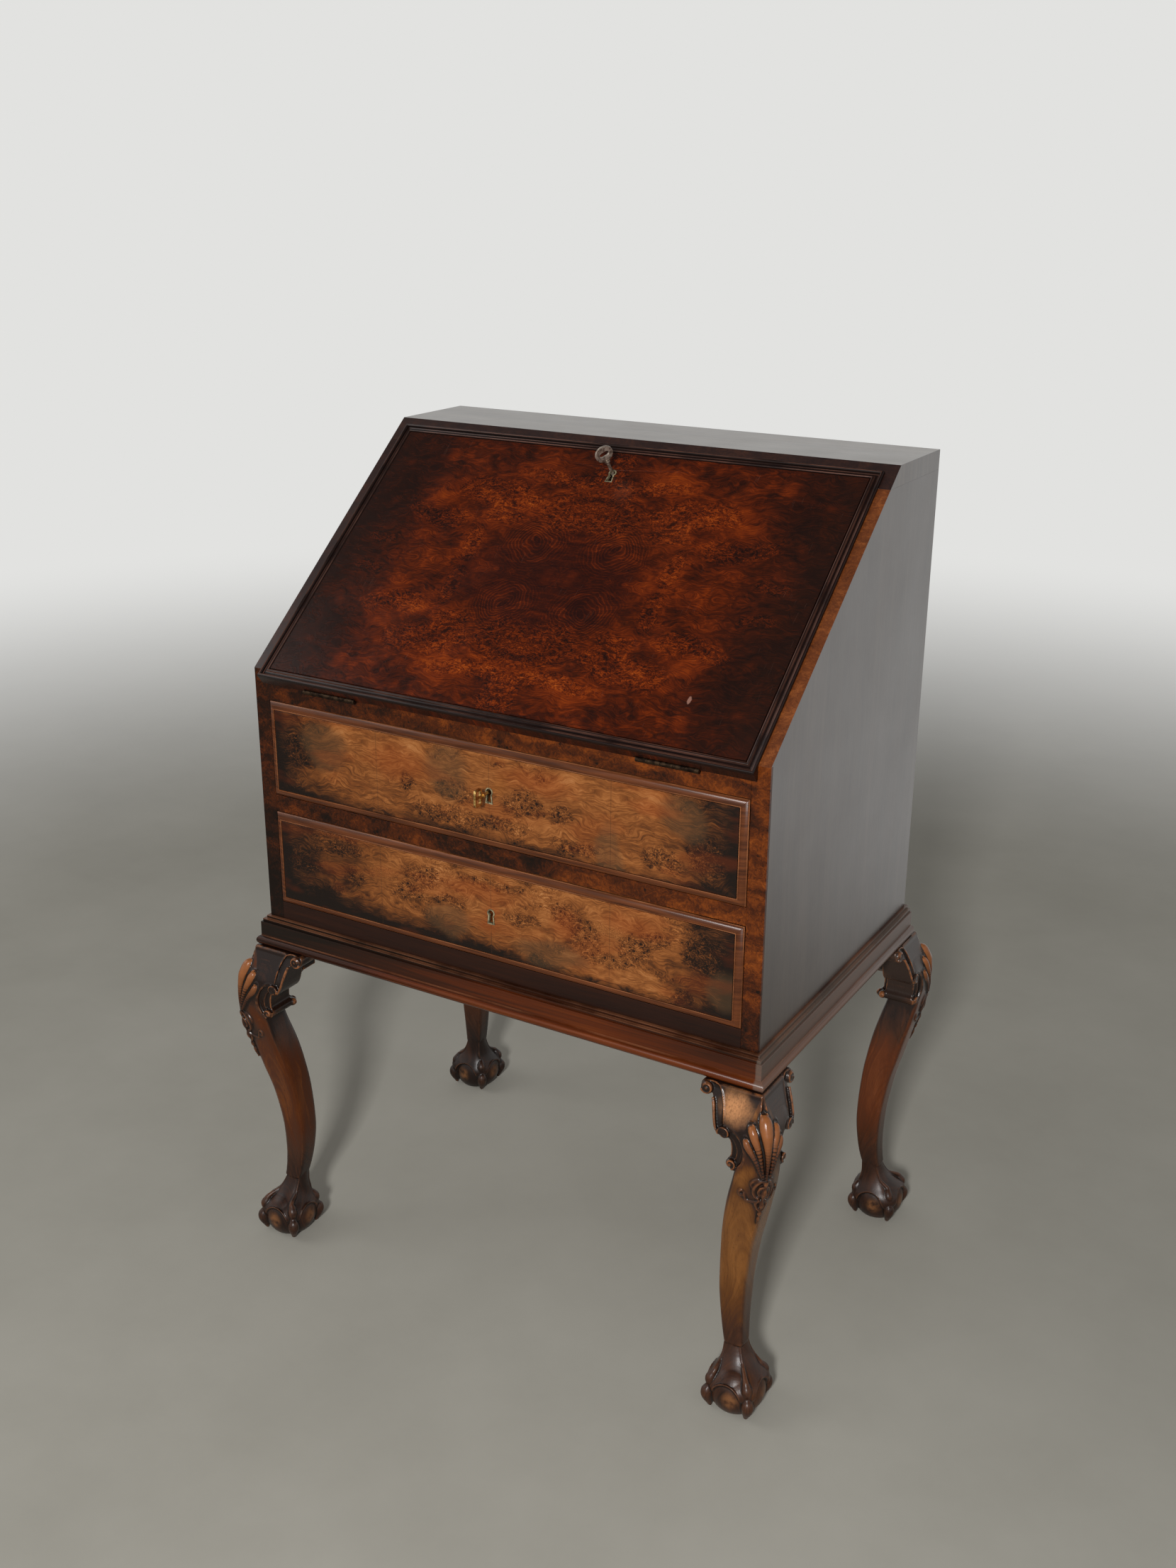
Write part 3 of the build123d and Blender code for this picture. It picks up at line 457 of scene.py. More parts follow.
upper_veneer = drawer_veneer(
    "upper_drawer_veneer", "upper_drawer_front", 0.37,
    -0.180, 0.14,
    ((-262, 5, 26, 26), (42, 0, 34, 22), (90, 0, 22, 16), (-55, -30, 60, 16), (-45, 0, 30, 18), (64, 34, 10, 8),
     (262, -12, 32, 28), (210, -28, 30, 16), (20, -28, 46, 12), (110, -34, 40, 12), (-110, -4, 16, 14),
     (12, 40, 10, 6)),
    ((-225, 20, 40, 34), (-55, 20, 34, 40), (236, 22, 36, 30), (150, -30, 20, 40)),
    ((60, 30, 70, 20), (-120, 20, 60, 30), (200, 30, 40, 14)))
lower_veneer = drawer_veneer(
    "lower_drawer_veneer", "lower_drawer_front", 1.91,
    -0.090, 0.50,
    ((-200, 34, 32, 16), (-270, 4, 44, 16), (-92, 26, 36, 18), (-54, 2, 30, 10), (-110, 0, 34, 16), (38, 2, 34, 12),
     (262, 16, 34, 30), (120, 0, 26, 26), (180, 0, 26, 26), (148, -20, 40, 12), (96, 22, 24, 16), (206, 20, 22, 16),
     (-190, 0, 20, 14), (62, -40, 16, 8), (238, -38, 20, 10), (-244, -30, 16, 8), (0, 34, 60, 10)),
    ((-60, -20, 40, 24), (80, -30, 60, 20), (290, -20, 30, 30)),
    ((0, 3, 15, 16), (0, -14, 26, 14), (96, 10, 30, 26), (-20, 24, 80, 16), (180, 30, 60, 20)))
print("drawer veneers", upper_veneer.name, lower_veneer.name)

# %% Rail veneer


def rail_veneer(name, sunken=False):
    """Orange-brown burr of the rails and stiles; the sunken rail has a grey patch in its middle."""
    wood = Finish(name)
    x, _, z = wood.split(wood.place)
    bent = wood.warped(wood.place, 0.05, 0.014, detail=3)
    clouds = wood.noise(bent, (0.040, 0.045, 0.022), detail=5, rough=0.6, bend=0.8)
    groups = wood.step(wood.noise(bent, 0.035, detail=2), 0.52, 0.64)
    fine = crinkles(wood, wood.place, 0.0060)
    eyes = wood.cells(wood.warped(wood.place, 0.012, 0.003), 0.0085)
    level = wood.layered(
        0.46, (clouds, 1.15, 0.5), (fine, 0.18, 0.5), (wood.times(wood.step(eyes, 0.28, 0.12), groups), -0.28),
        (wood.step(x, 0.10, -0.33), -0.24), (wood.step(z, 0.56, 0.455), -0.28))
    if sunken:
        grey = wood.patch(wood.warped(wood.place, 0.03, 0.012), (0.005, -0.212, 0.594), (0.10, 1, 0.03), soft=0.5)
        level = wood.layered(level, (grey, -0.20))
    colour = wood.ramp(
        level, (0.0, tint(18, 8, 4)), (0.2, tint(38, 16, 6)), (0.4, tint(72, 31, 8)), (0.6, tint(108, 51, 13)),
        (0.8, tint(138, 72, 22)), (1.0, tint(160, 94, 38)))
    wood.bump(fine, 0.0003, 0.12)
    return wood.done(colour, wood.uneven(0.04, 0.16, 0.24), specular=0.20)


stile_veneer = rail_veneer("rail_veneer")
middle_veneer = rail_veneer("middle_rail_veneer", sunken=True)
print("rail veneers", stile_veneer.name, middle_veneer.name)

# %% [markdown]
# ## Plain walnut of the sides and top
# The ends and the top are straight-grained walnut under a slightly dusty polish, which takes a grey
# shine from the room. Their tints are greyer than the wood, as dust and as a painted grey reflection,
# and the top's tints are lighter, as more painted reflection. The grain runs up the ends and along the
# top, so the noise is stretched that way.

# %% Plain walnut
grain_stops = (0.25, 0.5, 0.75)


def sloping_edge(wood):
    """1 on the narrow sloping face in front of a side or of the top, and on its upright front."""
    _, _, off = wood.split(wood.turned(wood.arrow("SUBTRACT", wood.place, slope_foot), (-slope, 0, 0)))
    _, y, _ = wood.split(wood.place)
    return wood.most(wood.step(off, -0.0006, -0.0003), wood.step(y, -0.2114, -0.2117))


def edge_burr(wood, tints):
    """Burr of a narrow edge, from three tints."""
    clouds = wood.noise(wood.warped(wood.place, 0.03, 0.010), 0.024, detail=5, rough=0.6, bend=0.8)
    level = wood.layered(-0.06, (clouds, 0.9), (crinkles(wood, wood.place, 0.0050), 0.22))
    return wood.ramp(level, *zip((0.2, 0.5, 0.8), tints))


def plain_walnut(name, sizes, tints, rough=0.34, specular=0.5, coat=0.0, edge=None, ends=None):
    """Straight-grained wood; sizes stretch the grain, edge paints its sloping front and ends its two ends."""
    wood = Finish(name)
    bent = wood.warped(wood.place, 0.22, 0.012)
    broad = wood.noise(bent, tuple(size * 26 for size in sizes), detail=4, rough=0.55)
    lines = wood.noise(bent, tuple(size * 5 for size in sizes), detail=4, rough=0.6)
    pores = wood.noise(wood.place, sizes, detail=2, rough=0.6)
    level = wood.layered(-0.05, (lines, 0.45), (broad, 0.55), (wood.step(pores, 0.58, 0.70), -0.10))
    colour = wood.ramp(level, *zip(grain_stops, tints))
    if ends:
        x, _, _ = wood.split(wood.place)
        upright = wood.noise(bent, (0.02, 0.008, 0.15), detail=4, rough=0.6)
        like_side = wood.ramp(upright, *zip(grain_stops, ends))
        colour = wood.mix(wood.step(wood.unsigned(x), 0.3240, 0.3246), colour, like_side)
    if edge:
        colour = wood.mix(sloping_edge(wood), colour, edge_burr(wood, edge))
    dull = wood.noise(wood.place, 0.09, detail=5, rough=0.6)
    wood.bump(pores, 0.0006, 0.10)
    return wood.done(colour, wood.scaled(dull, 0.20, rough), specular=specular, coat=coat)


# The side tints are grey-brown: the walnut with dust and a painted grey reflection in them.
side_wood_and_glare = (tint(46, 35, 30), tint(62, 49, 42), tint(80, 65, 56))
upright_grain, level_grain = (0.02, 0.0016, 0.030), (0.030, 0.0016, 0.02)
polish = {"rough": 0.24, "specular": 0.65, "coat": 0.45}
side_walnut = plain_walnut(
    "side_walnut", upright_grain, side_wood_and_glare, **polish, edge=(tint(62, 28, 10), tint(104, 52, 18), tint(144, 80, 34)))
left_walnut = plain_walnut(
    "left_side_walnut", upright_grain, side_wood_and_glare, **polish,
    edge=(tint(24, 12, 10), tint(42, 20, 13), tint(70, 34, 18)))
# The top's tints are lighter and greyer than the sides': the walnut with a painted reflection of the room in them.
top_walnut = plain_walnut(
    "top_walnut", level_grain, (tint(74, 62, 52), tint(94, 80, 68), tint(116, 101, 86)), **polish,
    edge=(tint(26, 15, 14), tint(44, 25, 20), tint(66, 38, 26)), ends=side_wood_and_glare)
dark_strip = plain_walnut(
    "dark_strip", (0.030, 0.02, 0.0012), (tint(20, 10, 7), tint(40, 18, 9), tint(66, 34, 16)), specular=0.2)
oak = plain_walnut(
    "drawer_oak", (0.02, 0.040, 0.0020), (tint(128, 96, 60), tint(152, 117, 76), tint(172, 137, 94)), rough=0.5,
    specular=0.3)
pine = plain_walnut(
    "carcase_pine", (0.040, 0.0030, 0.0030), (tint(120, 88, 56), tint(142, 106, 68), tint(160, 124, 82)), rough=0.55,
    specular=0.25)
desk_walnut = plain_walnut(
    "desk_walnut", level_grain, (tint(70, 40, 24), tint(96, 57, 34), tint(118, 74, 46)), rough=0.3)
print("plain woods ready")

# %% [markdown]
# ## Dark mouldings with worn and lit crests
# The mouldings are nearly black, and hands and dusters have worn their crests back to orange wood; the
# beads' crests also catch the light. On the fall and drawers a crest runs at a fixed distance from the
# moulding's outer edge, so the nodes work out that distance from the panel's middle and paint thin
# broken lines there, worn wood and painted highlight together.

# %% Worn mouldings


def rubbed_and_lit_moulding(name, middle, turn, half_x, half_y, crests, base, bright, crest_share):
    """Dark moulding with bright crest lines, worn wood and painted highlight together; each crest is (distance from the
    outer edge, half width).
    """
    wood = Finish(name)
    x, y, _ = wood.split(wood.turned(wood.arrow("SUBTRACT", wood.place, tuple(middle)), turn))
    depth = wood.least(wood.minus(half_x, wood.unsigned(x)), wood.minus(half_y, wood.unsigned(y)))
    worn = wood.sum_of(*[wood.near(depth, place, width) for place, width in crests])
    broken = wood.step(wood.noise(wood.place, 0.07, detail=5, rough=0.6), 0.32, 0.62)
    streak = wood.noise(wood.place, (0.06, 0.06, 0.003), detail=3)
    ground = wood.ramp(streak, (0.3, base[0]), (0.7, base[1]))
    # Bright lines on the crests: worn wood and painted highlight together.
    colour = wood.mix(wood.times(wood.times(worn, broken), crest_share, clamp=True), ground, bright)
    wood.bump(streak, 0.0004, 0.15)
    return wood.done(colour, 0.30, specular=0.24)


fall_edge = rubbed_and_lit_moulding(
    "fall_moulding_polish", fall_middle, (-slope, 0, 0), fall_half_width, fall_half_length,
    ((0.0022, 0.0008), (0.0050, 0.0005), (0.0084, 0.0006), (0.0104, 0.0008)),
    (tint(18, 10, 9), tint(30, 16, 12)), tint(112, 74, 60), 0.62)
drawer_edges = []
for name in ("upper", "lower"):
    low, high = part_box(name + "_drawer_moulding")
    drawer_edges.append(rubbed_and_lit_moulding(
        name + "_moulding_polish", (low + high) / 2, (math.radians(-90), 0, 0), (high.x - low.x) / 2,
        (high.z - low.z) / 2, ((0.0004, 0.0005), (0.0078, 0.0007)),
        (tint(62, 31, 15), tint(104, 56, 28)), tint(160, 104, 68), 0.6))
print("moulding finishes ready")

# %% [markdown]
# ## Stand mouldings and rails
# The stand's rails and beads are reddish straight-grained walnut, dark at the left end and under the
# cap, and their right-hand faces are painted grey, as dust and a painted reflection of the room. A
# moulding that runs round three sides needs its grain to run along each side, and because the colour
# changes little along the grain, one noise squeezed in height does for all of them.

# %% Stand wood
stand = Finish("stand_walnut")
bent = stand.warped(stand.place, 0.2, 0.004)
lines = stand.noise(bent, (0.16, 0.16, 0.0035), detail=3, rough=0.55)
broad = stand.noise(bent, (0.22, 0.22, 0.03), detail=3)
x, _, z = stand.split(stand.place)
level = stand.layered(
    0.0, (broad, 0.5), (lines, 0.5), (stand.step(x, 0.05, -0.30), -0.34), (stand.step(z, 0.4365, 0.4385), -0.20),
    (stand.near(z, 0.4125, 0.007), 0.16))
crest_heights = ((0.4442, 0.0012, 0.0004), (0.4405, 0.0010, 0.0003), (0.4188, 0.0009, 0.0003))
crest = stand.sum_of(*[stand.step(stand.apart(z, middle), end, full) for middle, end, full in crest_heights])
broken = stand.step(stand.noise(stand.place, 0.09, detail=5, rough=0.6), 0.30, 0.66)
stand_colour = stand.ramp(
    level, (0.1, tint(20, 9, 4)), (0.35, tint(48, 19, 5)), (0.55, tint(80, 32, 5)),
    (0.78, tint(112, 52, 10)), (1.0, tint(138, 76, 24)))
# The right-hand faces, from x 0.3262 outwards, are painted grey: dust and a painted reflection of the room.
stand_colour = stand.painted(
    stand_colour, (stand.times(crest, broken), 0.5, tint(140, 90, 62)),
    (stand.step(x, 0.3262, 0.3285), 0.45, tint(116, 104, 94)))
stand.bump(lines, 0.0005, 0.12)
stand.done(stand_colour, 0.30, specular=0.28)
print("stand wood", stand.material.name)

# %% [markdown]
# ## Metal
# The fall's key is dull steel with brown in its hollows, and the drawer's key is old brass. Both have
# colour that wanders between bright and tarnished, with fine pitting for the light to catch.

# %% Metals


def old_metal(name, bright, dark, rough, shine=1.0):
    """Metal with patches of tarnish."""
    metal = Finish(name)
    patches = metal.noise(metal.place, 0.006, detail=5, rough=0.65)
    colour = metal.mix(metal.step(patches, 0.38, 0.62), dark, bright)
    metal.bump(metal.noise(metal.place, 0.0016, detail=3), 0.0002, 0.25)
    return metal.done(colour, metal.scaled(patches, 0.3, rough), metallic=shine)


old_brass = old_metal("old_brass", tint(226, 188, 118), tint(140, 104, 58), 0.26)
dull_steel = old_metal("dull_steel", tint(186, 172, 158), tint(104, 88, 76), 0.32, shine=0.75)
dark_bronze = old_metal("dark_bronze", tint(74, 58, 44), tint(34, 26, 22), 0.3)
lock_iron = old_metal("lock_iron", tint(120, 112, 104), tint(66, 56, 50), 0.35)
plate_metal = old_metal("keyhole_metal", tint(188, 176, 140), tint(112, 100, 76), 0.34, shine=0.55)
print("metals ready")

# %% [markdown]
# ## Finishes and soft edges for the frame's own pieces
# The frame's boards have the right shape already. Real edges are never knife-sharp, so each board gets
# a live bevel of under a millimetre, after a weld that joins its loose triangles, and the bevel's faces
# catch the thin line of light that the photograph shows along every edge.

# %% Dress the frame


def on_drawers(*parts):
    """The nodes of both long drawers that end in the given words."""
    return tuple(drawer + "_drawer_" + part for drawer in ("upper", "lower") for part in parts)


corners = [(end, side) for end in ("front", "back") for side in ("left", "right")]
stay_links = tuple("stay_" + part + "_link_" + side for part in ("case", "fall") for side in ("left", "right"))
pigeonholes = ("desk_board", "pigeonhole_shelves", "pigeonhole_uprights", "small_drawer_front")
finishes = {
    side_walnut: ("side_right",),
    left_walnut: ("side_left",),
    top_walnut: ("top_board",),
    stile_veneer: ("stile_left", "stile_right", "top_rail"),
    middle_veneer: ("middle_rail",),
    dark_strip: ("bottom_rail",),
    burr.material: ("fall_panel",),
    fall_edge: ("fall_moulding",),
    upper_veneer: ("upper_drawer_front",),
    lower_veneer: ("lower_drawer_front",),
    drawer_edges[0]: ("upper_drawer_moulding",),
    drawer_edges[1]: ("lower_drawer_moulding",),
    stand.material: ("stand_rails", "stand_mouldings", "knee_brackets", *("leg_" + "_".join(pair) for pair in corners)),
    oak: (*on_drawers("sides", "back", "bottom"), "small_drawer_box", "drawer_runners"),
    pine: ("back_panel", "case_bottom", "dust_panel", "corner_blocks"),
    desk_walnut: pigeonholes,
    dark_bronze: ("case_hinge_leaves", "fall_hinge_leaves", "hinge_pins"),
    old_brass: ("upper_drawer_key", "small_drawer_knob", "stay_case_plates", "stay_fall_brackets", *stay_links),
    plate_metal: ("fall_escutcheon", *on_drawers("escutcheon")),
    dull_steel: ("fall_key",),
    lock_iron: ("fall_lock", "fall_bolt", *on_drawers("lock", "bolt"), "stand_screws"),
}
edge_widths = {
    0.0003: stay_links,
    0.0004: ("side_left", "side_right", "top_board", *on_drawers("moulding"), "fall_key", "upper_drawer_key"),
    0.0005: ("fall_moulding",),
    0.0006: ("stile_left", "stile_right", "top_rail", "middle_rail", "bottom_rail", "stand_mouldings"),
    0.0008: (*on_drawers("front"), "stand_rails", *pigeonholes[:3]),
    0.0010: ("fall_panel", "small_drawer_front"),
}
for material, names in finishes.items():
    for name in names:
        nodes[name].data.materials.clear()
        nodes[name].data.materials.append(material)
for width, names in edge_widths.items():
    for name in names:
        weld = nodes[name].modifiers.new("weld", "WELD")
        weld.merge_threshold = 0.00002
        soft = nodes[name].modifiers.new("soft edges", "BEVEL")
        soft.width = width
        soft.segments = 2
        soft.limit_method = "ANGLE"
        soft.angle_limit = math.radians(32)
        soft.harden_normals = True
print("dressed", sum(len(names) for names in finishes.values()), "of", len(nodes))

# %% [markdown]
# ## The cabriole leg
# A cabriole leg is one thick plank sawn and carved into an S: it swells at the knee, thins above the
# ankle and spreads into a foot. One leg is carved here, at the front right corner. A ring of points in
# the shape of a soft square is pulled down the leg and made wider or narrower at each stop, by extrude,
# resize and translate, the way a carver marks widths on the blank.

# %% Leg helpers
corner = Vector((0.325, -0.212, 0.0))
leg_stops = (
    (406.6, 8.0, 30.0), (400.5, 11.5, 30.0), (394.4, 16.5, 30.0), (380.6, 24.5, 30.0), (368.0, 29.3, 29.0),
    (360.0, 30.6, 22.0), (352.0, 31.5, 12.5), (344.0, 32.0, 8.4), (336.7, 32.3, 8.0), (320.0, 32.0, 8.0),
    (307.8, 31.0, 9.8), (289.5, 28.2, 14.0), (271.6, 24.5, 17.8), (251.7, 20.6, 21.0), (235.4, 17.4, 23.0),
    (220.8, 14.2, 24.6), (204.5, 10.8, 26.0), (180.5, 7.2, 27.4), (158.6, 4.6, 28.0), (137.4, 3.2, 27.8),
    (115.5, 2.4, 26.0), (97.6, 2.6, 23.6), (84.0, 3.4, 21.0), (76.0, 4.2, 19.0),
)


def flowing(points, steps=5):
    """More points on a smooth line through the given ones, which may hold any number of values."""
    values = np.array(points, float)
    ends = np.vstack([values[0] * 2 - values[1], values, values[-1] * 2 - values[-2]])
    line = []
    for index in range(len(values) - 1):
        before, here, there, after = ends[index:index + 4]
        for step in range(steps):
            share = step / steps
            line.append(0.5 * (2 * here + (there - before) * share
                               + (2 * before - 5 * here + 4 * there - after) * share ** 2
                               + (3 * here - before - 3 * there + after) * share ** 3))
    line.append(values[-1])
    return np.array(line)


def knee_out(z):
    """How far the leg reaches out of the case's corner at a height, in millimetres."""
    return float(np.interp(z, [stop[0] for stop in leg_stops[::-1]], [stop[1] for stop in leg_stops[::-1]]))


def only(piece):
    """Makes the piece the one that the next operator works on."""
    bpy.ops.object.select_all(action="DESELECT")
    piece.select_set(True)
    bpy.context.view_layer.objects.active = piece


def fresh(operator, name, **settings):
    """A new piece, made by its operator."""
    bpy.ops.object.select_all(action="DESELECT")
    operator(**settings)
    bpy.context.object.name = name
    return bpy.context.object


@contextmanager
def editing():
    """Edit mode, with everything selected, for the operators inside."""
    bpy.ops.object.mode_set(mode="EDIT")
    bpy.ops.mesh.select_all(action="SELECT")
    yield
    bpy.ops.object.mode_set(mode="OBJECT")


def face_outwards():
    bpy.ops.mesh.select_all(action="SELECT")
    bpy.ops.mesh.normals_make_consistent(inside=False)


def apply_modifier(piece, kind, **settings):
    """Adds a modifier to the active piece and applies it."""
    change = piece.modifiers.new("change", kind)
    for key, value in settings.items():
        setattr(change, key, value)
    bpy.ops.object.modifier_apply(modifier="change")


def roll_of_wood(name, points, flat=8):
    """A round roll along a smooth line of (x, y, z, radius) in metres, made as a curve and then a mesh."""
    curve = fresh(bpy.ops.curve.primitive_nurbs_path_add, name).data
    curve.splines.clear()
    spline = curve.splines.new("POLY")
    spline.points.add(len(points) - 1)
    for spot, (x, y, z, radius) in zip(spline.points, points):
        spot.co = (x, y, z, 1)
        spot.radius = radius
    curve.dimensions = "3D"
    curve.bevel_depth = 1.0
    curve.bevel_resolution = flat // 4
    curve.use_fill_caps = True
    bpy.ops.object.convert(target="MESH")
    return bpy.context.object


def plate_of_wood(name, outline, place, pull):
    """A flat plate: its outline is laid in a plane by place(first, second) and pulled to its thickness."""
    piece = fresh(bpy.ops.mesh.primitive_circle_add, name, vertices=len(outline), fill_type="NGON")
    for vertex, point in zip(piece.data.vertices, outline):
        vertex.co = place(*point)
    with editing():
        bpy.ops.mesh.extrude_region_move(TRANSFORM_OT_translate={"value": pull})
        face_outwards()
    return piece


def cut_with(piece, cutter, operation):
    """One saw cut: the cutter is used up."""
    only(piece)
    apply_modifier(piece, "BOOLEAN", operation=operation, solver="EXACT", object=cutter)
    bpy.data.objects.remove(cutter)


def pulled_ring(name, stops, count, shape):
    """A ring pulled down through stops of (height, shift outwards, half width) in millimetres."""
    height, shift, half = stops[0]
    piece = fresh(bpy.ops.mesh.primitive_circle_add, name, vertices=count, radius=1, fill_type="NGON")
    for vertex in piece.data.vertices:
        angle = math.atan2(vertex.co.y, vertex.co.x)
        reach = half * shape(angle)
        vertex.co = corner + Vector((shift + reach * math.cos(angle), -shift + reach * math.sin(angle), height)) / 1000
    with editing():
        for next_height, next_shift, next_half in stops[1:]:
            step = next_shift - shift
            bpy.ops.mesh.extrude_region_move(
                TRANSFORM_OT_translate={"value": (step / 1000, -step / 1000, (next_height - height) / 1000)})
            bpy.ops.transform.resize(
                value=(next_half / half, next_half / half, 1),
                center_override=(corner.x + next_shift / 1000, corner.y - next_shift / 1000, next_height / 1000))
            height, shift, half = next_height, next_shift, next_half
        face_outwards()
    return piece


def soft_square(angle):
    """Reach of a square with rounded corners, for half a side of 1."""
    return (abs(math.cos(angle)) ** 6 + abs(math.sin(angle)) ** 6) ** (-1 / 6)


print("knee at 336 mm reaches", knee_out(336))

# %% Leg blank
stops = [(z, (out - back) / 2, (out + back) / 2) for z, out, back in flowing(leg_stops, 4)]
leg = pulled_ring("leg_blank", stops, 40, soft_square)
print("leg blank", len(leg.data.vertices), "points")

# %% [markdown]
# ## The brackets beside the knee
# On each side of the knee a separate piece of wood carries the curve on to the rail. Seen from the
# front it is an S with a small roll at its top, its middle and its foot. It is sawn from a plate whose
# outline is drawn from the front, and then cut by a second plate drawn from the side: a boolean that
# keeps what both share does the same as the two saw cuts. A second, thicker pair makes the smooth
# panel, and leaves a hollow band between the panel and the bracket's rim.

# %% Bracket blanks
bracket_outline = flowing((
    (2, 406.4), (30, 406.4), (50, 406.4), (55.0, 404.5), (56.4, 399.5), (55.0, 394.0), (50.5, 391.2), (45.5, 391.8),
    (42.6, 394.2), (40.4, 390), (38.4, 383), (36.6, 376), (34.6, 368), (32.0, 360.5), (27.8, 354.6), (22.5, 352.0),
    (17, 352.2), (14.6, 348), (13.4, 341), (13.2, 334), (14.4, 330.8), (16.8, 327.5), (16.8, 323), (14.4, 319.6),
    (10.5, 318.4), (6, 319.6), (2, 322),
), 3)
panel_outline = flowing((
    (-14, 406.4), (14, 406.4), (33.5, 406.2), (31.0, 401), (28.0, 394), (25.2, 386), (23.2, 377), (21.4, 368.5),
    (16.0, 368.5), (9.0, 366.5), (2.5, 361), (-2.4, 352), (-5.0, 343), (-14, 340), (-18, 370),
), 3)
bracket_profile = flowing((
    (-9, 316), (10, 316), (27.4, 316), (28.8, 320), (29.6, 337), (28.8, 350), (26.6, 365), (22.0, 380), (17.0, 394),
    (14.5, 400.5), (12.5, 406.5), (0, 406.5), (-9, 406.5),
), 3)
panel_profile = flowing((
    (-8, 316), (10, 316), (28.4, 316), (30.6, 322), (31.8, 337), (30.8, 350), (28.8, 365), (24.4, 380), (19.2, 394),
    (16.6, 400.5), (13.8, 406.5), (0, 406.5), (-8, 406.5),
), 3)


def face_step(side, inwards, out, up=0):
    """A step in metres, from millimetres inwards along a face of the knee, out of it and up."""
    across = (-inwards, -out) if side == 0 else (out, inwards)
    return Vector((across[0] / 1000, across[1] / 1000, up / 1000))


def bracket_blank(side, outline, profile):
    """Blank of one bracket: side 0 lies beside the front face, side 1 beside the outer face."""
    behind_face, beside_bracket = -27, 60
    blank = plate_of_wood(
        "bracket", outline, lambda t, z: corner + face_step(side, t, behind_face, z), face_step(side, 0, 70))
    cutter = plate_of_wood(
        "bracket_cut", profile, lambda v, z: corner + face_step(side, beside_bracket, v, z), face_step(side, -90, 0))
    cut_with(blank, cutter, "INTERSECT")
    return blank


parts_of_leg = [bracket_blank(side, outline, profile) for side in (0, 1)
                for outline, profile in ((bracket_outline, bracket_profile), (panel_outline, panel_profile))]
print("bracket blanks", [len(part.data.vertices) for part in parts_of_leg])

# %% [markdown]
# ## Hollows
# One hollow is cut into the knee on each side before anything is laid on it: the one inside the C scroll.

# %% Hollows
c_hollow = flowing((
    (14.0, 363.0), (7.5, 360.0), (1.5, 353.0), (-1.8, 344.0), (-1.8, 334.0), (1.5, 326.5), (6.5, 322.0), (16.0, 326.0),
    (20.0, 340.0), (20.0, 354.0),
), 3)


def knee_cutter(side, outline, depth):
    """A cutter whose flat face lies at a depth in front of the case's face."""
    if side == 0:
        return plate_of_wood("cutter", outline, lambda t, z: corner + Vector((-t, -depth, z)) / 1000, (0, -0.03, 0))
    return plate_of_wood("cutter", outline, lambda t, z: corner + Vector((depth, t, z)) / 1000, (0.03, 0, 0))


for side in (0, 1):
    cut_with(leg, knee_cutter(side, c_hollow, 28.6), "DIFFERENCE")
    for part in parts_of_leg[2 * side:2 * side + 2]:
        cut_with(part, knee_cutter(side, c_hollow, 26.4), "DIFFERENCE")
parts_of_leg.insert(0, leg)
print("leg after the hollows", len(leg.data.vertices))

# %% [markdown]
# ## Carving on the knee
# The knee carries a fan of five teardrops over the corner, an S scroll and a C scroll on each side, a
# small husk below the fan and a drop of beads. Each is a roll of wood that swells and tapers, half sunk
# in the knee. Their lines are given as the distance inwards from the case's corner and the height.

# %% Scroll lines
panel_face = ([316, 322, 337, 350, 365, 380, 394, 400.5, 406.5],
              [28.4, 30.6, 31.8, 30.8, 28.8, 24.4, 19.2, 16.6, 13.8])


def face_at(z):
    """How far the knee's front face stands out of the case's face at a height."""
    return float(np.interp(z, *panel_face))


def on_knee(side, inwards, z, lift, radius, out=None):
    """A point of a roll on one face of the knee, in metres, with its radius."""
    out = (face_at(z) if out is None else out) + lift
    if side == 0:
        return (corner.x - inwards / 1000, corner.y - out / 1000, z / 1000, radius / 1000)
    return (corner.x + out / 1000, corner.y + inwards / 1000, z / 1000, radius / 1000)


def volute(centre, start, turns, wide, tight, fat, thin, count=30):
    """A spiral of (inwards, height, radius) round a centre; start is its first angle in degrees."""
    points = []
    for index in range(count):
        share = index / (count - 1)
        angle = math.radians(start + turns * 360 * share)
        reach = wide + (tight - wide) * share
        points.append((centre[0] - reach * math.cos(angle), centre[1] + reach * math.sin(angle),
                       fat + (thin - fat) * share))
    return points


top_centre, mid_centre, low_centre = (48.6, 398.8), (21.2, 359.6), (11.2, 324.9)
rim_line = [(28.0, 357.0, 1.5), (31.6, 362.6, 1.6), (33.7, 369, 1.7), (35.5, 377, 1.8), (37.3, 384.5, 1.8),
            (39.6, 391.5, 1.6)]
top_volute = volute(top_centre, 200, 1.55, 6.6, 1.5, 1.5, 1.0)
mid_volute = volute(mid_centre, 205, -1.75, 6.9, 1.3, 1.4, 1.0)
inner_line = [(22.6, 367.6, 0.9), (23.4, 373.5, 1.0), (24.8, 381, 1.1), (27.0, 389.5, 1.1), (30.0, 397.5, 1.1),
              (34.0, 403.6, 1.0), (40.0, 406.0, 1.0), (47.0, 406.0, 1.1), (52.6, 404.4, 1.3)]
c_line = [(21.0, 366.6, 1.0), (15.5, 366.6, 1.3), (9.0, 363.8, 1.5), (2.6, 358.0, 1.5), (-2.3, 350.0, 1.5),
          (-4.6, 341.5, 1.5), (-4.4, 332.6, 1.5), (-1.2, 324.6, 1.5), (4.4, 319.9, 1.4), (9.6, 318.9, 1.4)]
low_volute = volute(low_centre, -75, 1.2, 5.6, 1.2, 1.4, 1.0, 22)
c_inner = [(14.5, 359.0, 0.6), (9.5, 356.0, 0.9), (6.0, 350.0, 1.0), (4.6, 342.0, 1.0), (5.6, 334.2, 0.9),
           (8.0, 330.6, 0.6)]
print("scroll points", len(rim_line), len(c_line))

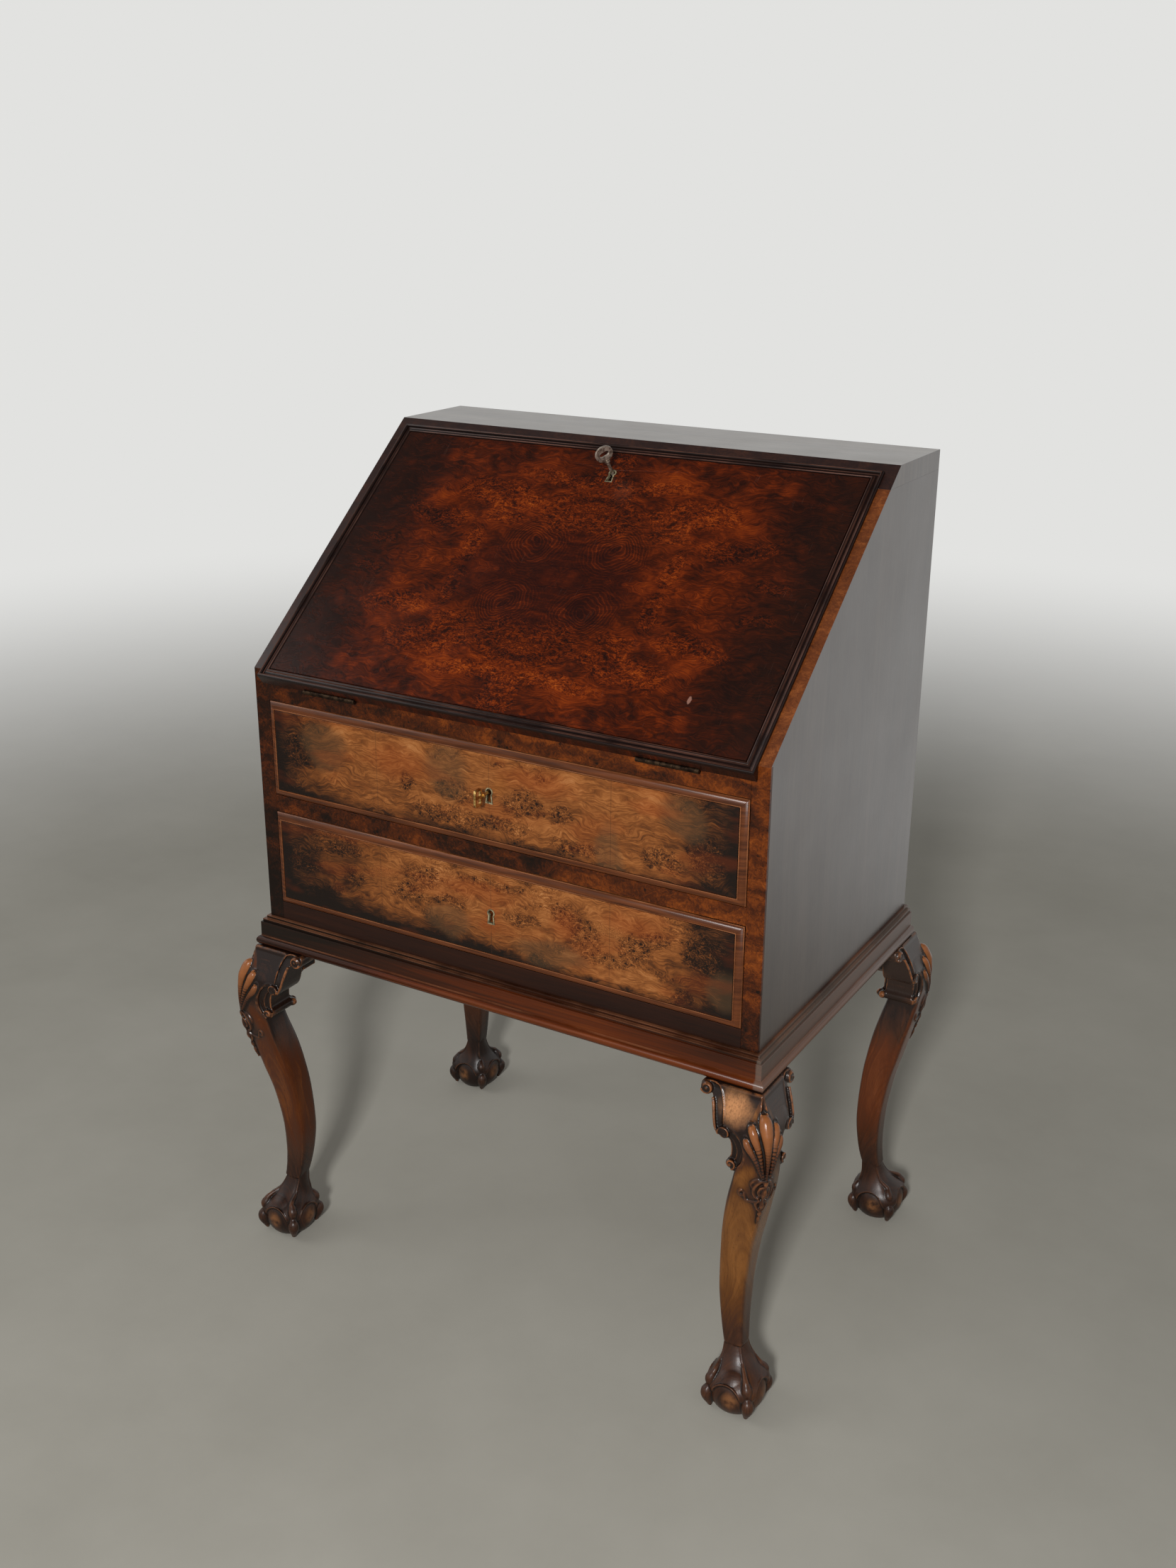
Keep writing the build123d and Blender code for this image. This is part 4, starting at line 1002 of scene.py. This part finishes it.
# %% Carve the scrolls
scrolls = (
    ("rim", rim_line, 0.1, None), ("inner_rim", inner_line, 0.0, None), ("c_scroll", c_line, 0.2, None),
    ("c_inner", c_inner, -3.3, None), ("top_volute", top_volute, 0.9, top_centre),
    ("mid_volute", mid_volute, 1.5, mid_centre), ("low_volute", low_volute, 0.4, low_centre),
)
buttons = (
    (top_centre, 7.0, 0.6, 2.1, 11), (mid_centre, 6.8, 0.9, 2.0, 11), (low_centre, 5.0, 0.2, 2.4, 48),
)
for side in (0, 1):
    for name, line, lift, centre in scrolls:
        level = face_at(centre[1]) if centre else None
        points = [on_knee(side, t, z, lift, radius, level) for t, z, radius in flowing(line, 3)]
        parts_of_leg.append(roll_of_wood(name, points))
    for centre, wide, lift, button, deep in buttons:
        disc = ((-deep - 3, wide * 0.5), (-deep, wide), (lift - 0.8, wide), (lift, wide - 0.9))
        knob = ((-4, button), (lift + 1.3, button), (lift + 1.9, button * 0.5))
        for name, rings, flat in (("disc", disc, 24), ("knob", knob, 12)):
            points = [on_knee(side, *centre, rise, radius, face_at(centre[1])) for rise, radius in rings]
            parts_of_leg.append(roll_of_wood(name, points, flat))
print("pieces so far", len(parts_of_leg))

# %% Carve the fan
centre_lobe = ((0, 388, 2.4), (0, 385.4, 4.9), (0, 381, 6.6), (0, 375, 7.0), (0, 368, 6.1), (0, 359, 4.5),
               (0, 349, 3.1), (0, 339, 2.2), (0, 329.5, 1.6), (0, 321, 1.1))
near_lobe = ((17.6, 376, 2.2), (17.6, 373.2, 4.1), (16.8, 368, 4.9), (15.0, 362, 4.5), (12.2, 355, 3.5),
             (8.6, 344, 2.3), (5.6, 333, 1.6), (2.8, 321.5, 1.0))
far_lobe = ((26.0, 360.4, 1.8), (25.6, 358.0, 3.3), (24.0, 353.4, 4.0), (21.1, 349, 3.6), (17.4, 344.6, 2.8),
            (12.1, 336.4, 2.0), (8.2, 328.6, 1.5), (4.6, 321.6, 1.0))


def fan_point(side, from_edge, z, radius, lift):
    """A point of the fan: on the corner itself, or a distance from it along one face."""
    out = knee_out(z)
    if from_edge == 0:
        reach = out - 1.9 + lift * 0.72
        return (corner.x + reach / 1000, corner.y - reach / 1000, z / 1000, radius / 1000)
    return on_knee(side, from_edge - out, z, lift, radius, out)


def lay_on_fan(name, side, line, lift, steps=3, flat=8):
    """Adds one roll of the fan, from points of (distance from the edge, height, radius)."""
    points = [fan_point(side, a, z, radius, lift) for a, z, radius in flowing(line, steps)]
    parts_of_leg.append(roll_of_wood(name, points, flat))


def rim_round(lobe, gap, radius):
    """A thin line round a teardrop's head, at a gap from it."""
    body = flowing(lobe, 2)
    left = [(a + size + gap, z, radius) for a, z, size in body[3:]]
    right = [(a - size - gap, z, radius) for a, z, size in body[3:5]]
    a, z, size = body[2]
    head = [(a + size * 0.9 + gap * 0.6, z + 3.2, radius), (a + size * 0.2, z + 4.6 + gap, radius),
            (a - size * 0.9 - gap * 0.6, z + 3.2, radius)]
    return left[::-1] + head + right


lobe_balls = []
for side, lobe in [(0, centre_lobe)] + [(side, lobe) for side in (0, 1) for lobe in (near_lobe, far_lobe)]:
    points = [fan_point(side, a, z, radius, 2.4 - radius * 0.45) for a, z, radius in flowing(lobe, 3)]
    lobe_balls.extend(points)
    parts_of_leg.append(roll_of_wood("lobe", points, 20))
for side in (0, 1):
    for lobe in (near_lobe, far_lobe):
        rim = [point for point in rim_round(lobe, 1.3, 0.95) if point[0] > 1.5]
        lay_on_fan("lobe_rim", side, rim, 0.2, 2)
head_rim = ((10.4, 366, 0.9), (10.4, 376, 0.95), (9.0, 384.5, 1.0), (5.8, 390.6, 1.0), (1.6, 393.4, 1.0))
for side in (0, 1):
    lay_on_fan("lobe_rim", side, head_rim, 0.2)
print("pieces so far", len(parts_of_leg))

# %% Carve the husk and the drop
husk = (
    ("petal", ((1.6, 319, 1.0), (7.0, 315.5, 2.0), (11.5, 308.5, 2.5), (12.5, 301, 2.3), (9.6, 295.0, 1.9),
               (5.0, 293.0, 1.4))),
    ("inner_petal", ((1.0, 311, 1.0), (5.2, 308.0, 1.9), (6.8, 302, 2.0), (4.5, 297.4, 1.4))),
    ("leaf_tip", ((4.0, 291.0, 1.2), (7.4, 285.0, 1.9), (5.2, 279.5, 1.6), (2.0, 276.0, 1.0))),
    ("spur", ((9.0, 318.5, 0.9), (13.5, 314.5, 1.6), (16.5, 309.5, 1.5), (15.5, 305.5, 1.0))),
)
curl = [(8.0, 287.0, 1.1), (14.0, 285.8, 1.4), (19.5, 287.0, 1.7)]
curl += volute((24.4, 294.0), 100, 1.1, 4.3, 1.3, 1.7, 1.2, 16)[::-1][4:]
for side in (0, 1):
    for name, line in husk:
        lay_on_fan(name, side, line, 0.5)
    lay_on_fan("curl", side, curl, 0.3, 2)
beads = ((321, 1.2), (318.0, 2.6), (314.5, 2.9), (310, 1.5), (305, 2.8), (299, 3.2), (293.5, 1.8), (290, 1.4),
         (286.5, 2.7), (283, 2.8), (279, 1.4), (276.5, 1.2), (273.5, 2.3), (270.5, 2.4), (267.5, 1.2), (264.5, 2.0),
         (261, 1.9), (256, 1.0), (252, 0.6))
drop = [(0, z, radius) for z, radius in beads]
lay_on_fan("bead_drop", 0, drop, 1.3, flat=12)
print("pieces so far", len(parts_of_leg))

# %% [markdown]
# ## The claw and ball foot
# Four bird's toes grip a ball. Skin hangs from the ankle over the ball like a bell, and under it a round
# face of the ball shows between each two toes. A toe is bony: its tendon runs down the bell as a thin
# ridge, swells into a first knuckle, narrows, swells into a rounder second knuckle and ends in a claw.

# %% Foot
foot_middle = corner + Vector((-0.0010, -0.0015, 0.0))
ball_radius, ball_height = 0.0326, Vector((0, 0, 0.0235))
bell_stops = (
    (104, -11.4, 10.2), (96, -10.8, 10.4), (88, -10.0, 10.8), (80, -9.0, 11.4), (72, -7.7, 12.6), (64, -6.2, 14.5),
    (57, -4.6, 17.4), (51, -3.0, 21.0), (46, -1.6, 24.8), (42, -0.7, 28.2), (38, -0.1, 31.0), (34, 0.1, 32.8),
    (30, 0.1, 33.4), (26, 0.1, 32.6), (23, 0.1, 30.6),
)


def soft_round(angle):
    """Reach of a ring that is a little wider towards the toes."""
    return 1 + 0.09 * abs(math.sin(2 * angle)) ** 3


bell = pulled_ring("bell", flowing(bell_stops, 2), 64, soft_round)
for quarter in range(4):
    angle = math.radians(90 * quarter)
    outwards = Vector((math.cos(angle), math.sin(angle), 0))
    arch = fresh(
        bpy.ops.mesh.primitive_cylinder_add, "arch", vertices=48, radius=0.0176, depth=0.032,
        location=foot_middle + outwards * 0.041 + ball_height, rotation=(0, math.radians(90), angle))
    cut_with(bell, arch, "DIFFERENCE")
parts_of_leg.append(bell)
ball = fresh(
    bpy.ops.mesh.primitive_uv_sphere_add, "ball", segments=48, ring_count=32, radius=ball_radius,
    location=foot_middle + ball_height)
bpy.ops.object.transform_apply(location=True, rotation=True, scale=True)
with editing():
    bpy.ops.mesh.bisect(plane_co=(0, 0, 0.0004), plane_no=(0, 0, 1), use_fill=True, clear_inner=True)
parts_of_leg.append(ball)
print("bell", len(bell.data.vertices), "ball", len(ball.data.vertices))

# %% Toes
bell_line = flowing(bell_stops, 2)[::-1]
tendon_stops = ((98, 0.8, 0.2), (90, 1.0, 0.2), (80, 1.2, 0.2), (72, 1.4, 0.2), (64, 1.6, 0.3), (56, 2.0, 0.4))
toe_stops = (
    (26.2, 48.5, 3.0), (29.2, 43.5, 4.7), (31.6, 38.8, 5.8), (32.2, 34.4, 5.2), (32.4, 31.2, 3.8), (33.4, 27.8, 4.4),
    (35.0, 23.6, 6.4), (35.4, 18.8, 7.0), (34.2, 13.2, 6.0), (32.6, 8.6, 4.6), (31.6, 5.4, 3.6), (30.6, 3.2, 2.9),
    (29.4, 2.6, 1.9),
)


def bell_at(z):
    """Shift and reach of the bell at a height."""
    return [float(np.interp(z, bell_line[:, 0], bell_line[:, column])) for column in (1, 2)]


for quarter in range(4):
    angle = math.radians(-45 + 90 * quarter)
    outwards = Vector((math.cos(angle), math.sin(angle), 0))
    tendon = []
    for z, radius, sink in tendon_stops:
        shift, reach = bell_at(z)
        spot = corner + (Vector((shift, -shift, 0)) + outwards * (reach * 1.09 - sink)) / 1000
        tendon.append((spot.x, spot.y, z / 1000, radius / 1000))
    for far, z, radius in toe_stops:
        spot = foot_middle + outwards * (far / 1000)
        tendon.append((spot.x, spot.y, z / 1000, radius / 1000))
    parts_of_leg.append(roll_of_wood("toe", flowing(tendon, 3), 20))
    face = math.radians(90 * quarter)
    along = Vector((math.cos(face), math.sin(face), 0))
    across = Vector((-math.sin(face), math.cos(face), 0))
    rim = []
    for index in range(17):
        turn = math.radians(12 + 156 * index / 16)
        side_step, rise = 17.7 * math.cos(turn), 17.7 * math.sin(turn)
        z = 23.5 + rise
        reach = bell_at(z)[1] + 0.2
        depth = math.sqrt(max(reach ** 2 - side_step ** 2, 0))
        spot = foot_middle + (along * depth + across * side_step) / 1000
        rim.append((spot.x, spot.y, z / 1000, 0.00095))
    parts_of_leg.append(roll_of_wood("arch_rim", rim))
print("pieces of the leg", len(parts_of_leg))

# %% Post and shoulder
post_boxes = (((-0.030, 0.0, 0.3726), (0.0, 0.030, 0.4066)), ((-0.035, 0.013, 0.3726), (-0.013, 0.035, 0.4370)))
for low, high in post_boxes:
    low, high = corner + Vector(low), corner + Vector(high)
    post = fresh(bpy.ops.mesh.primitive_cube_add, "post", size=1, location=(low + high) / 2)
    post.scale = high - low
    bpy.ops.object.transform_apply(location=True, rotation=True, scale=True)
    parts_of_leg.append(post)
print("pieces of one leg", len(parts_of_leg))

# %% [markdown]
# ## One solid leg
# The blank, brackets, rolls and foot are joined and remeshed into one skin, as if all were cut from one
# piece of wood. A light smoothing takes off the tiny steps. Then each point learns how far it stands
# above or below its neighbourhood: crests are worn bright, and hollows are painted dark as old polish and
# painted shade together; the finish reads this from an attribute called carving. A second attribute,
# dusk, spreads out from the carving, and the finish darkens the plain wood beside the carving by it, as
# old polish and painted shade together. A third, gap, is the distance in millimetres from the nearest
# teardrop, whose whole round face is painted bright, as rubbed wood with a painted highlight, while the
# gaps between are painted black, as dirt and painted shade together.


# %% Join and remesh
skin_size = 0.00078
most_faces = 188000


def point_values(mesh, kind):
    """The places (co) or directions (normal) of a mesh's points, one row for each."""
    values = np.empty(len(mesh.vertices) * 3)
    mesh.vertices.foreach_get(kind, values)
    return values.reshape(-1, 3)


def spread(mesh, values, rounds):
    """Each point's value becomes its neighbours' mean, a number of times."""
    count = len(mesh.vertices)
    ends = np.empty(len(mesh.edges) * 2, dtype=np.int64)
    mesh.edges.foreach_get("vertices", ends)
    one, other = ends[0::2], ends[1::2]
    friends = np.bincount(one, minlength=count) + np.bincount(other, minlength=count)
    for _ in range(rounds):
        total = np.bincount(one, weights=values[other], minlength=count)
        total += np.bincount(other, weights=values[one], minlength=count)
        values = total / np.maximum(friends, 1)
    return values


def note_carving(piece, rounds, full):
    """Stores how far each point stands out of its neighbourhood, and how busy the carving near it is."""
    mesh = piece.data
    places = point_values(mesh, "co")
    smooth = np.stack([spread(mesh, places[:, axis], rounds) for axis in range(3)], axis=1)
    height = ((places - smooth) * point_values(mesh, "normal")).sum(axis=1) / full
    busy = spread(mesh, np.clip(np.abs(height) * 2 - 0.3, 0, 1), 130)
    gap = np.full(len(places), 0.010)
    knee = np.flatnonzero((places[:, 2] > 0.312) & (places[:, 2] < 0.402))
    for x, y, z, radius in lobe_balls:
        away = np.linalg.norm(places[knee] - (x, y, z), axis=1) - radius
        gap[knee] = np.minimum(gap[knee], away)
    for name, values in (("carving", np.clip(height, -1, 1)), ("dusk", busy), ("gap", gap * 1000)):
        mesh.attributes.new(name, "FLOAT", "POINT").data.foreach_set("value", values)
    return height


bpy.ops.object.select_all(action="DESELECT")
for part in parts_of_leg:
    part.select_set(True)
bpy.context.view_layer.objects.active = leg
bpy.ops.object.join()
apply_modifier(leg, "REMESH", mode="VOXEL", voxel_size=skin_size)
apply_modifier(leg, "SMOOTH", factor=0.5, iterations=3)
bpy.ops.object.shade_smooth()
heights = note_carving(leg, 20, 0.0010)
triangles = sum(len(face.vertices) - 2 for face in leg.data.polygons)
apply_modifier(leg, "DECIMATE", ratio=most_faces / triangles)
bpy.ops.object.shade_smooth()
print("leg", len(leg.data.polygons), "faces, carving from", round(heights.min(), 2), "to", round(heights.max(), 2))

# %% [markdown]
# ## Leg finish
# The shank is warm mid-brown walnut with tall arched grain. Polish and dirt, with painted shade, are
# black in the hollows of the carving and in the gaps between the teardrops, and the crests are rubbed to
# orange. The inner faces of the upper leg are painted darker as shade, the outer faces at the top of the
# knee carry a painted grey glare, and the worn front panel of the front right knee carries a painted
# highlight. The arches come from grain surfaces that curve with the leg: a wave of the distance from a
# slanted axis, bent by noise.

# %% Leg finish


def leg_finish(name, corner_x, corner_y, light, warm, panel):
    """Walnut of one leg, with its grain centred on that leg; panel is how strong the lighter patch on its front panel
    is, worn wood with a painted highlight.
    """
    wood = Finish(name)
    local = wood.arrow("SUBTRACT", wood.place, (corner_x, corner_y, 0.0))
    local = wood.arrow("MULTIPLY", local, (math.copysign(1, corner_x), -math.copysign(1, corner_y), 1.0))
    bent = wood.warped(local, 0.10, 0.012)
    x, y, z = wood.split(bent)
    bow = wood.times(wood.times(x, x), 9000.0)
    sheet = wood.scaled(z, 75.0, wood.plus(bow, wood.times(y, 160.0)))
    rings = wood.noise(wood.join(0.0, 0.0, sheet), 1.0, detail=3)
    pores = wood.noise(local, (0.0011, 0.0011, 0.026), detail=3, rough=0.6)
    broad = wood.noise(bent, (0.018, 0.018, 0.10), detail=4, rough=0.55)
    out_x, out_y, height = wood.split(local)
    carving, dusk, gap = [
        wood.add("ShaderNodeAttribute", attribute_type="GEOMETRY", attribute_name=kind).outputs["Fac"]
        for kind in ("carving", "dusk", "gap")]
    inwards = wood.most(wood.times(out_x, -1.0), out_y)
    inner_side = wood.plus(inwards, wood.scaled(height, 0.215, -0.0757))
    # Painted shade: the inner faces of the upper leg, towards the inside of the stand, are darkened.
    inner_painted_shade = wood.times(wood.step(inner_side, -0.0020, -0.0004), wood.step(height, 0.240, 0.312))
    # Darker beside the carving, as old polish and painted shade together.
    knee_polish_and_shade = wood.times(wood.step(dusk, 0.03, 0.40), wood.step(height, 0.235, 0.275))
    level = wood.layered(
        light, (rings, 0.40), (broad, 0.45), (wood.step(pores, 0.55, 0.72), -0.09),
        (wood.step(height, 0.185, 0.075), -0.34), (wood.step(height, 0.392, 0.406), -0.12), (inner_painted_shade, -0.38),
        (knee_polish_and_shade, -0.34))
    colour = wood.ramp(level, (0.06, tint(28, 16, 12)), (0.26, tint(62, 35, 21)), *zip((0.45, 0.66, 0.92), warm))
    patchy = wood.noise(local, 0.008, detail=4)
    # Painted glare: the outer faces at the top of the knee are tinted grey as a reflection of the room.
    outer = wood.times(wood.step(wood.plus(out_x, out_y), -0.001, 0.002), wood.step(height, 0.29, 0.36))
    # A lighter patch on the knee's front panel: worn wood with a painted highlight on it.
    worn_and_lit_panel = wood.patch(
        wood.warped(local, 0.016, 0.008, detail=4), (-0.012, -0.026, 0.389), (0.028, 0.022, 0.025), soft=0.15)
    specks = wood.step(wood.noise(local, (0.0016, 0.0016, 0.004), detail=3, rough=0.7), 0.30, 0.58)
    worn_and_lit_panel = wood.times(worn_and_lit_panel, wood.scaled(specks, 0.45, 0.55))
    crest = wood.times(wood.step(carving, 0.25, 0.85), wood.step(patchy, 0.30, 0.62))
    crest = wood.times(crest, wood.scaled(wood.step(height, 0.300, 0.330), 0.5, 0.5))
    foot = wood.step(height, 0.110, 0.075)
    faces = [wood.patch(local, (east, north, 0.024), (0.013, 0.013, 0.014), soft=0.2)
             for east, north in ((0.031, 0.0), (-0.031, 0.0), (0.0, 0.031), (0.0, -0.033))]
    ball_face = wood.times(wood.sum_of(*faces), wood.step(patchy, 0.25, 0.6), clamp=True)
    # The last coat paints the gaps round the teardrops black, as dirt and painted shade together.
    colour = wood.painted(
        colour, (outer, 0.55, tint(62, 48, 41)), (worn_and_lit_panel, panel, tint(206, 144, 94)),
        (crest, 0.58, wood.mix(foot, tint(168, 104, 60), tint(132, 84, 54))), (ball_face, 0.65, tint(136, 90, 54)),
        (wood.step(gap, 3.6, 1.4), 0.94, tint(24, 15, 11)))
    # The teardrops are painted bright, most at their heads: rubbed wood with a painted highlight on it.
    lobe = wood.times(wood.step(gap, 0.45, -0.05), wood.scaled(patchy, 0.5, 0.6), clamp=True)
    low_lobe = wood.mix(wood.step(height, 0.330, 0.374), tint(72, 38, 21), tint(148, 90, 50))
    colour = wood.mix(lobe, colour, low_lobe)
    # The hollows of the carving are painted near black, as old polish and painted shade together.
    colour = wood.painted(colour, (wood.step(carving, -0.06, -0.50), 0.92, tint(22, 14, 11)))
    wood.bump(pores, 0.0003, 0.15)
    return wood.done(colour, wood.scaled(broad, 0.16, wood.scaled(foot, 0.09, 0.18)), specular=0.30)


print("leg finish ready")

# %% [markdown]
# ## Four legs
# The carved leg is copied to the other corners. A copy is mirrored in edit mode, and its faces are
# turned over again where one mirror has turned them inside out. No two hand-made legs stand quite alike:
# the two right-hand legs lean a few millimetres, and the left-hand ones lean less.

# %% Four legs
golden = (tint(90, 52, 19), tint(130, 82, 36), tint(166, 116, 62))
amber = (tint(74, 32, 4), tint(118, 62, 12), tint(154, 96, 34))
ruddy = (tint(86, 41, 17), tint(120, 64, 30), tint(150, 94, 54))
lean_heights = (0.0, 0.060, 0.150, 0.220, 0.300, 0.350)
legs = (
    ("front", "right", 1, 1, (-5, -5.5, -6, -5, -2, 0), golden, 0.14, 0.8),
    ("front", "left", -1, 1, (0.1, 0, -2, -2, 0, 0.2), amber, 0.06, 0.0),
    ("back", "right", 1, -1, (-4, -5, -6, -6, -4, -1), ruddy, 0.06, 0.0),
    ("back", "left", -1, -1, (-3, -3, -2, 0, 0, 0), amber, -0.02, 0.0),
)
pieces = [leg]
for _ in legs[1:]:
    only(leg)
    bpy.ops.object.duplicate()
    pieces.append(bpy.context.object)
for piece, (end, side, flip_x, flip_y, lean, warm, light, panel) in zip(pieces, legs):
    mesh = piece.data
    places = point_values(mesh, "co")
    places[:, 0] += np.interp(places[:, 2], lean_heights, lean) / 1000
    mesh.vertices.foreach_set("co", places.ravel())
    only(piece)
    if (flip_x, flip_y) != (1, 1):
        with editing():
            bpy.ops.transform.resize(value=(flip_x, flip_y, 1), center_override=(0, 0, 0))
            if flip_x * flip_y < 0:
                bpy.ops.mesh.flip_normals()
    piece.name = "carved_leg_" + end + "_" + side
    mesh.name = piece.name
    mesh.materials.clear()
    mesh.materials.append(
        leg_finish("leg_walnut_" + end + "_" + side, flip_x * corner.x, flip_y * corner.y, light, warm, panel))
    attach(piece, "case")
    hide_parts("leg_" + end + "_" + side, "knee_brackets")
    print(piece.name, len(mesh.vertices))
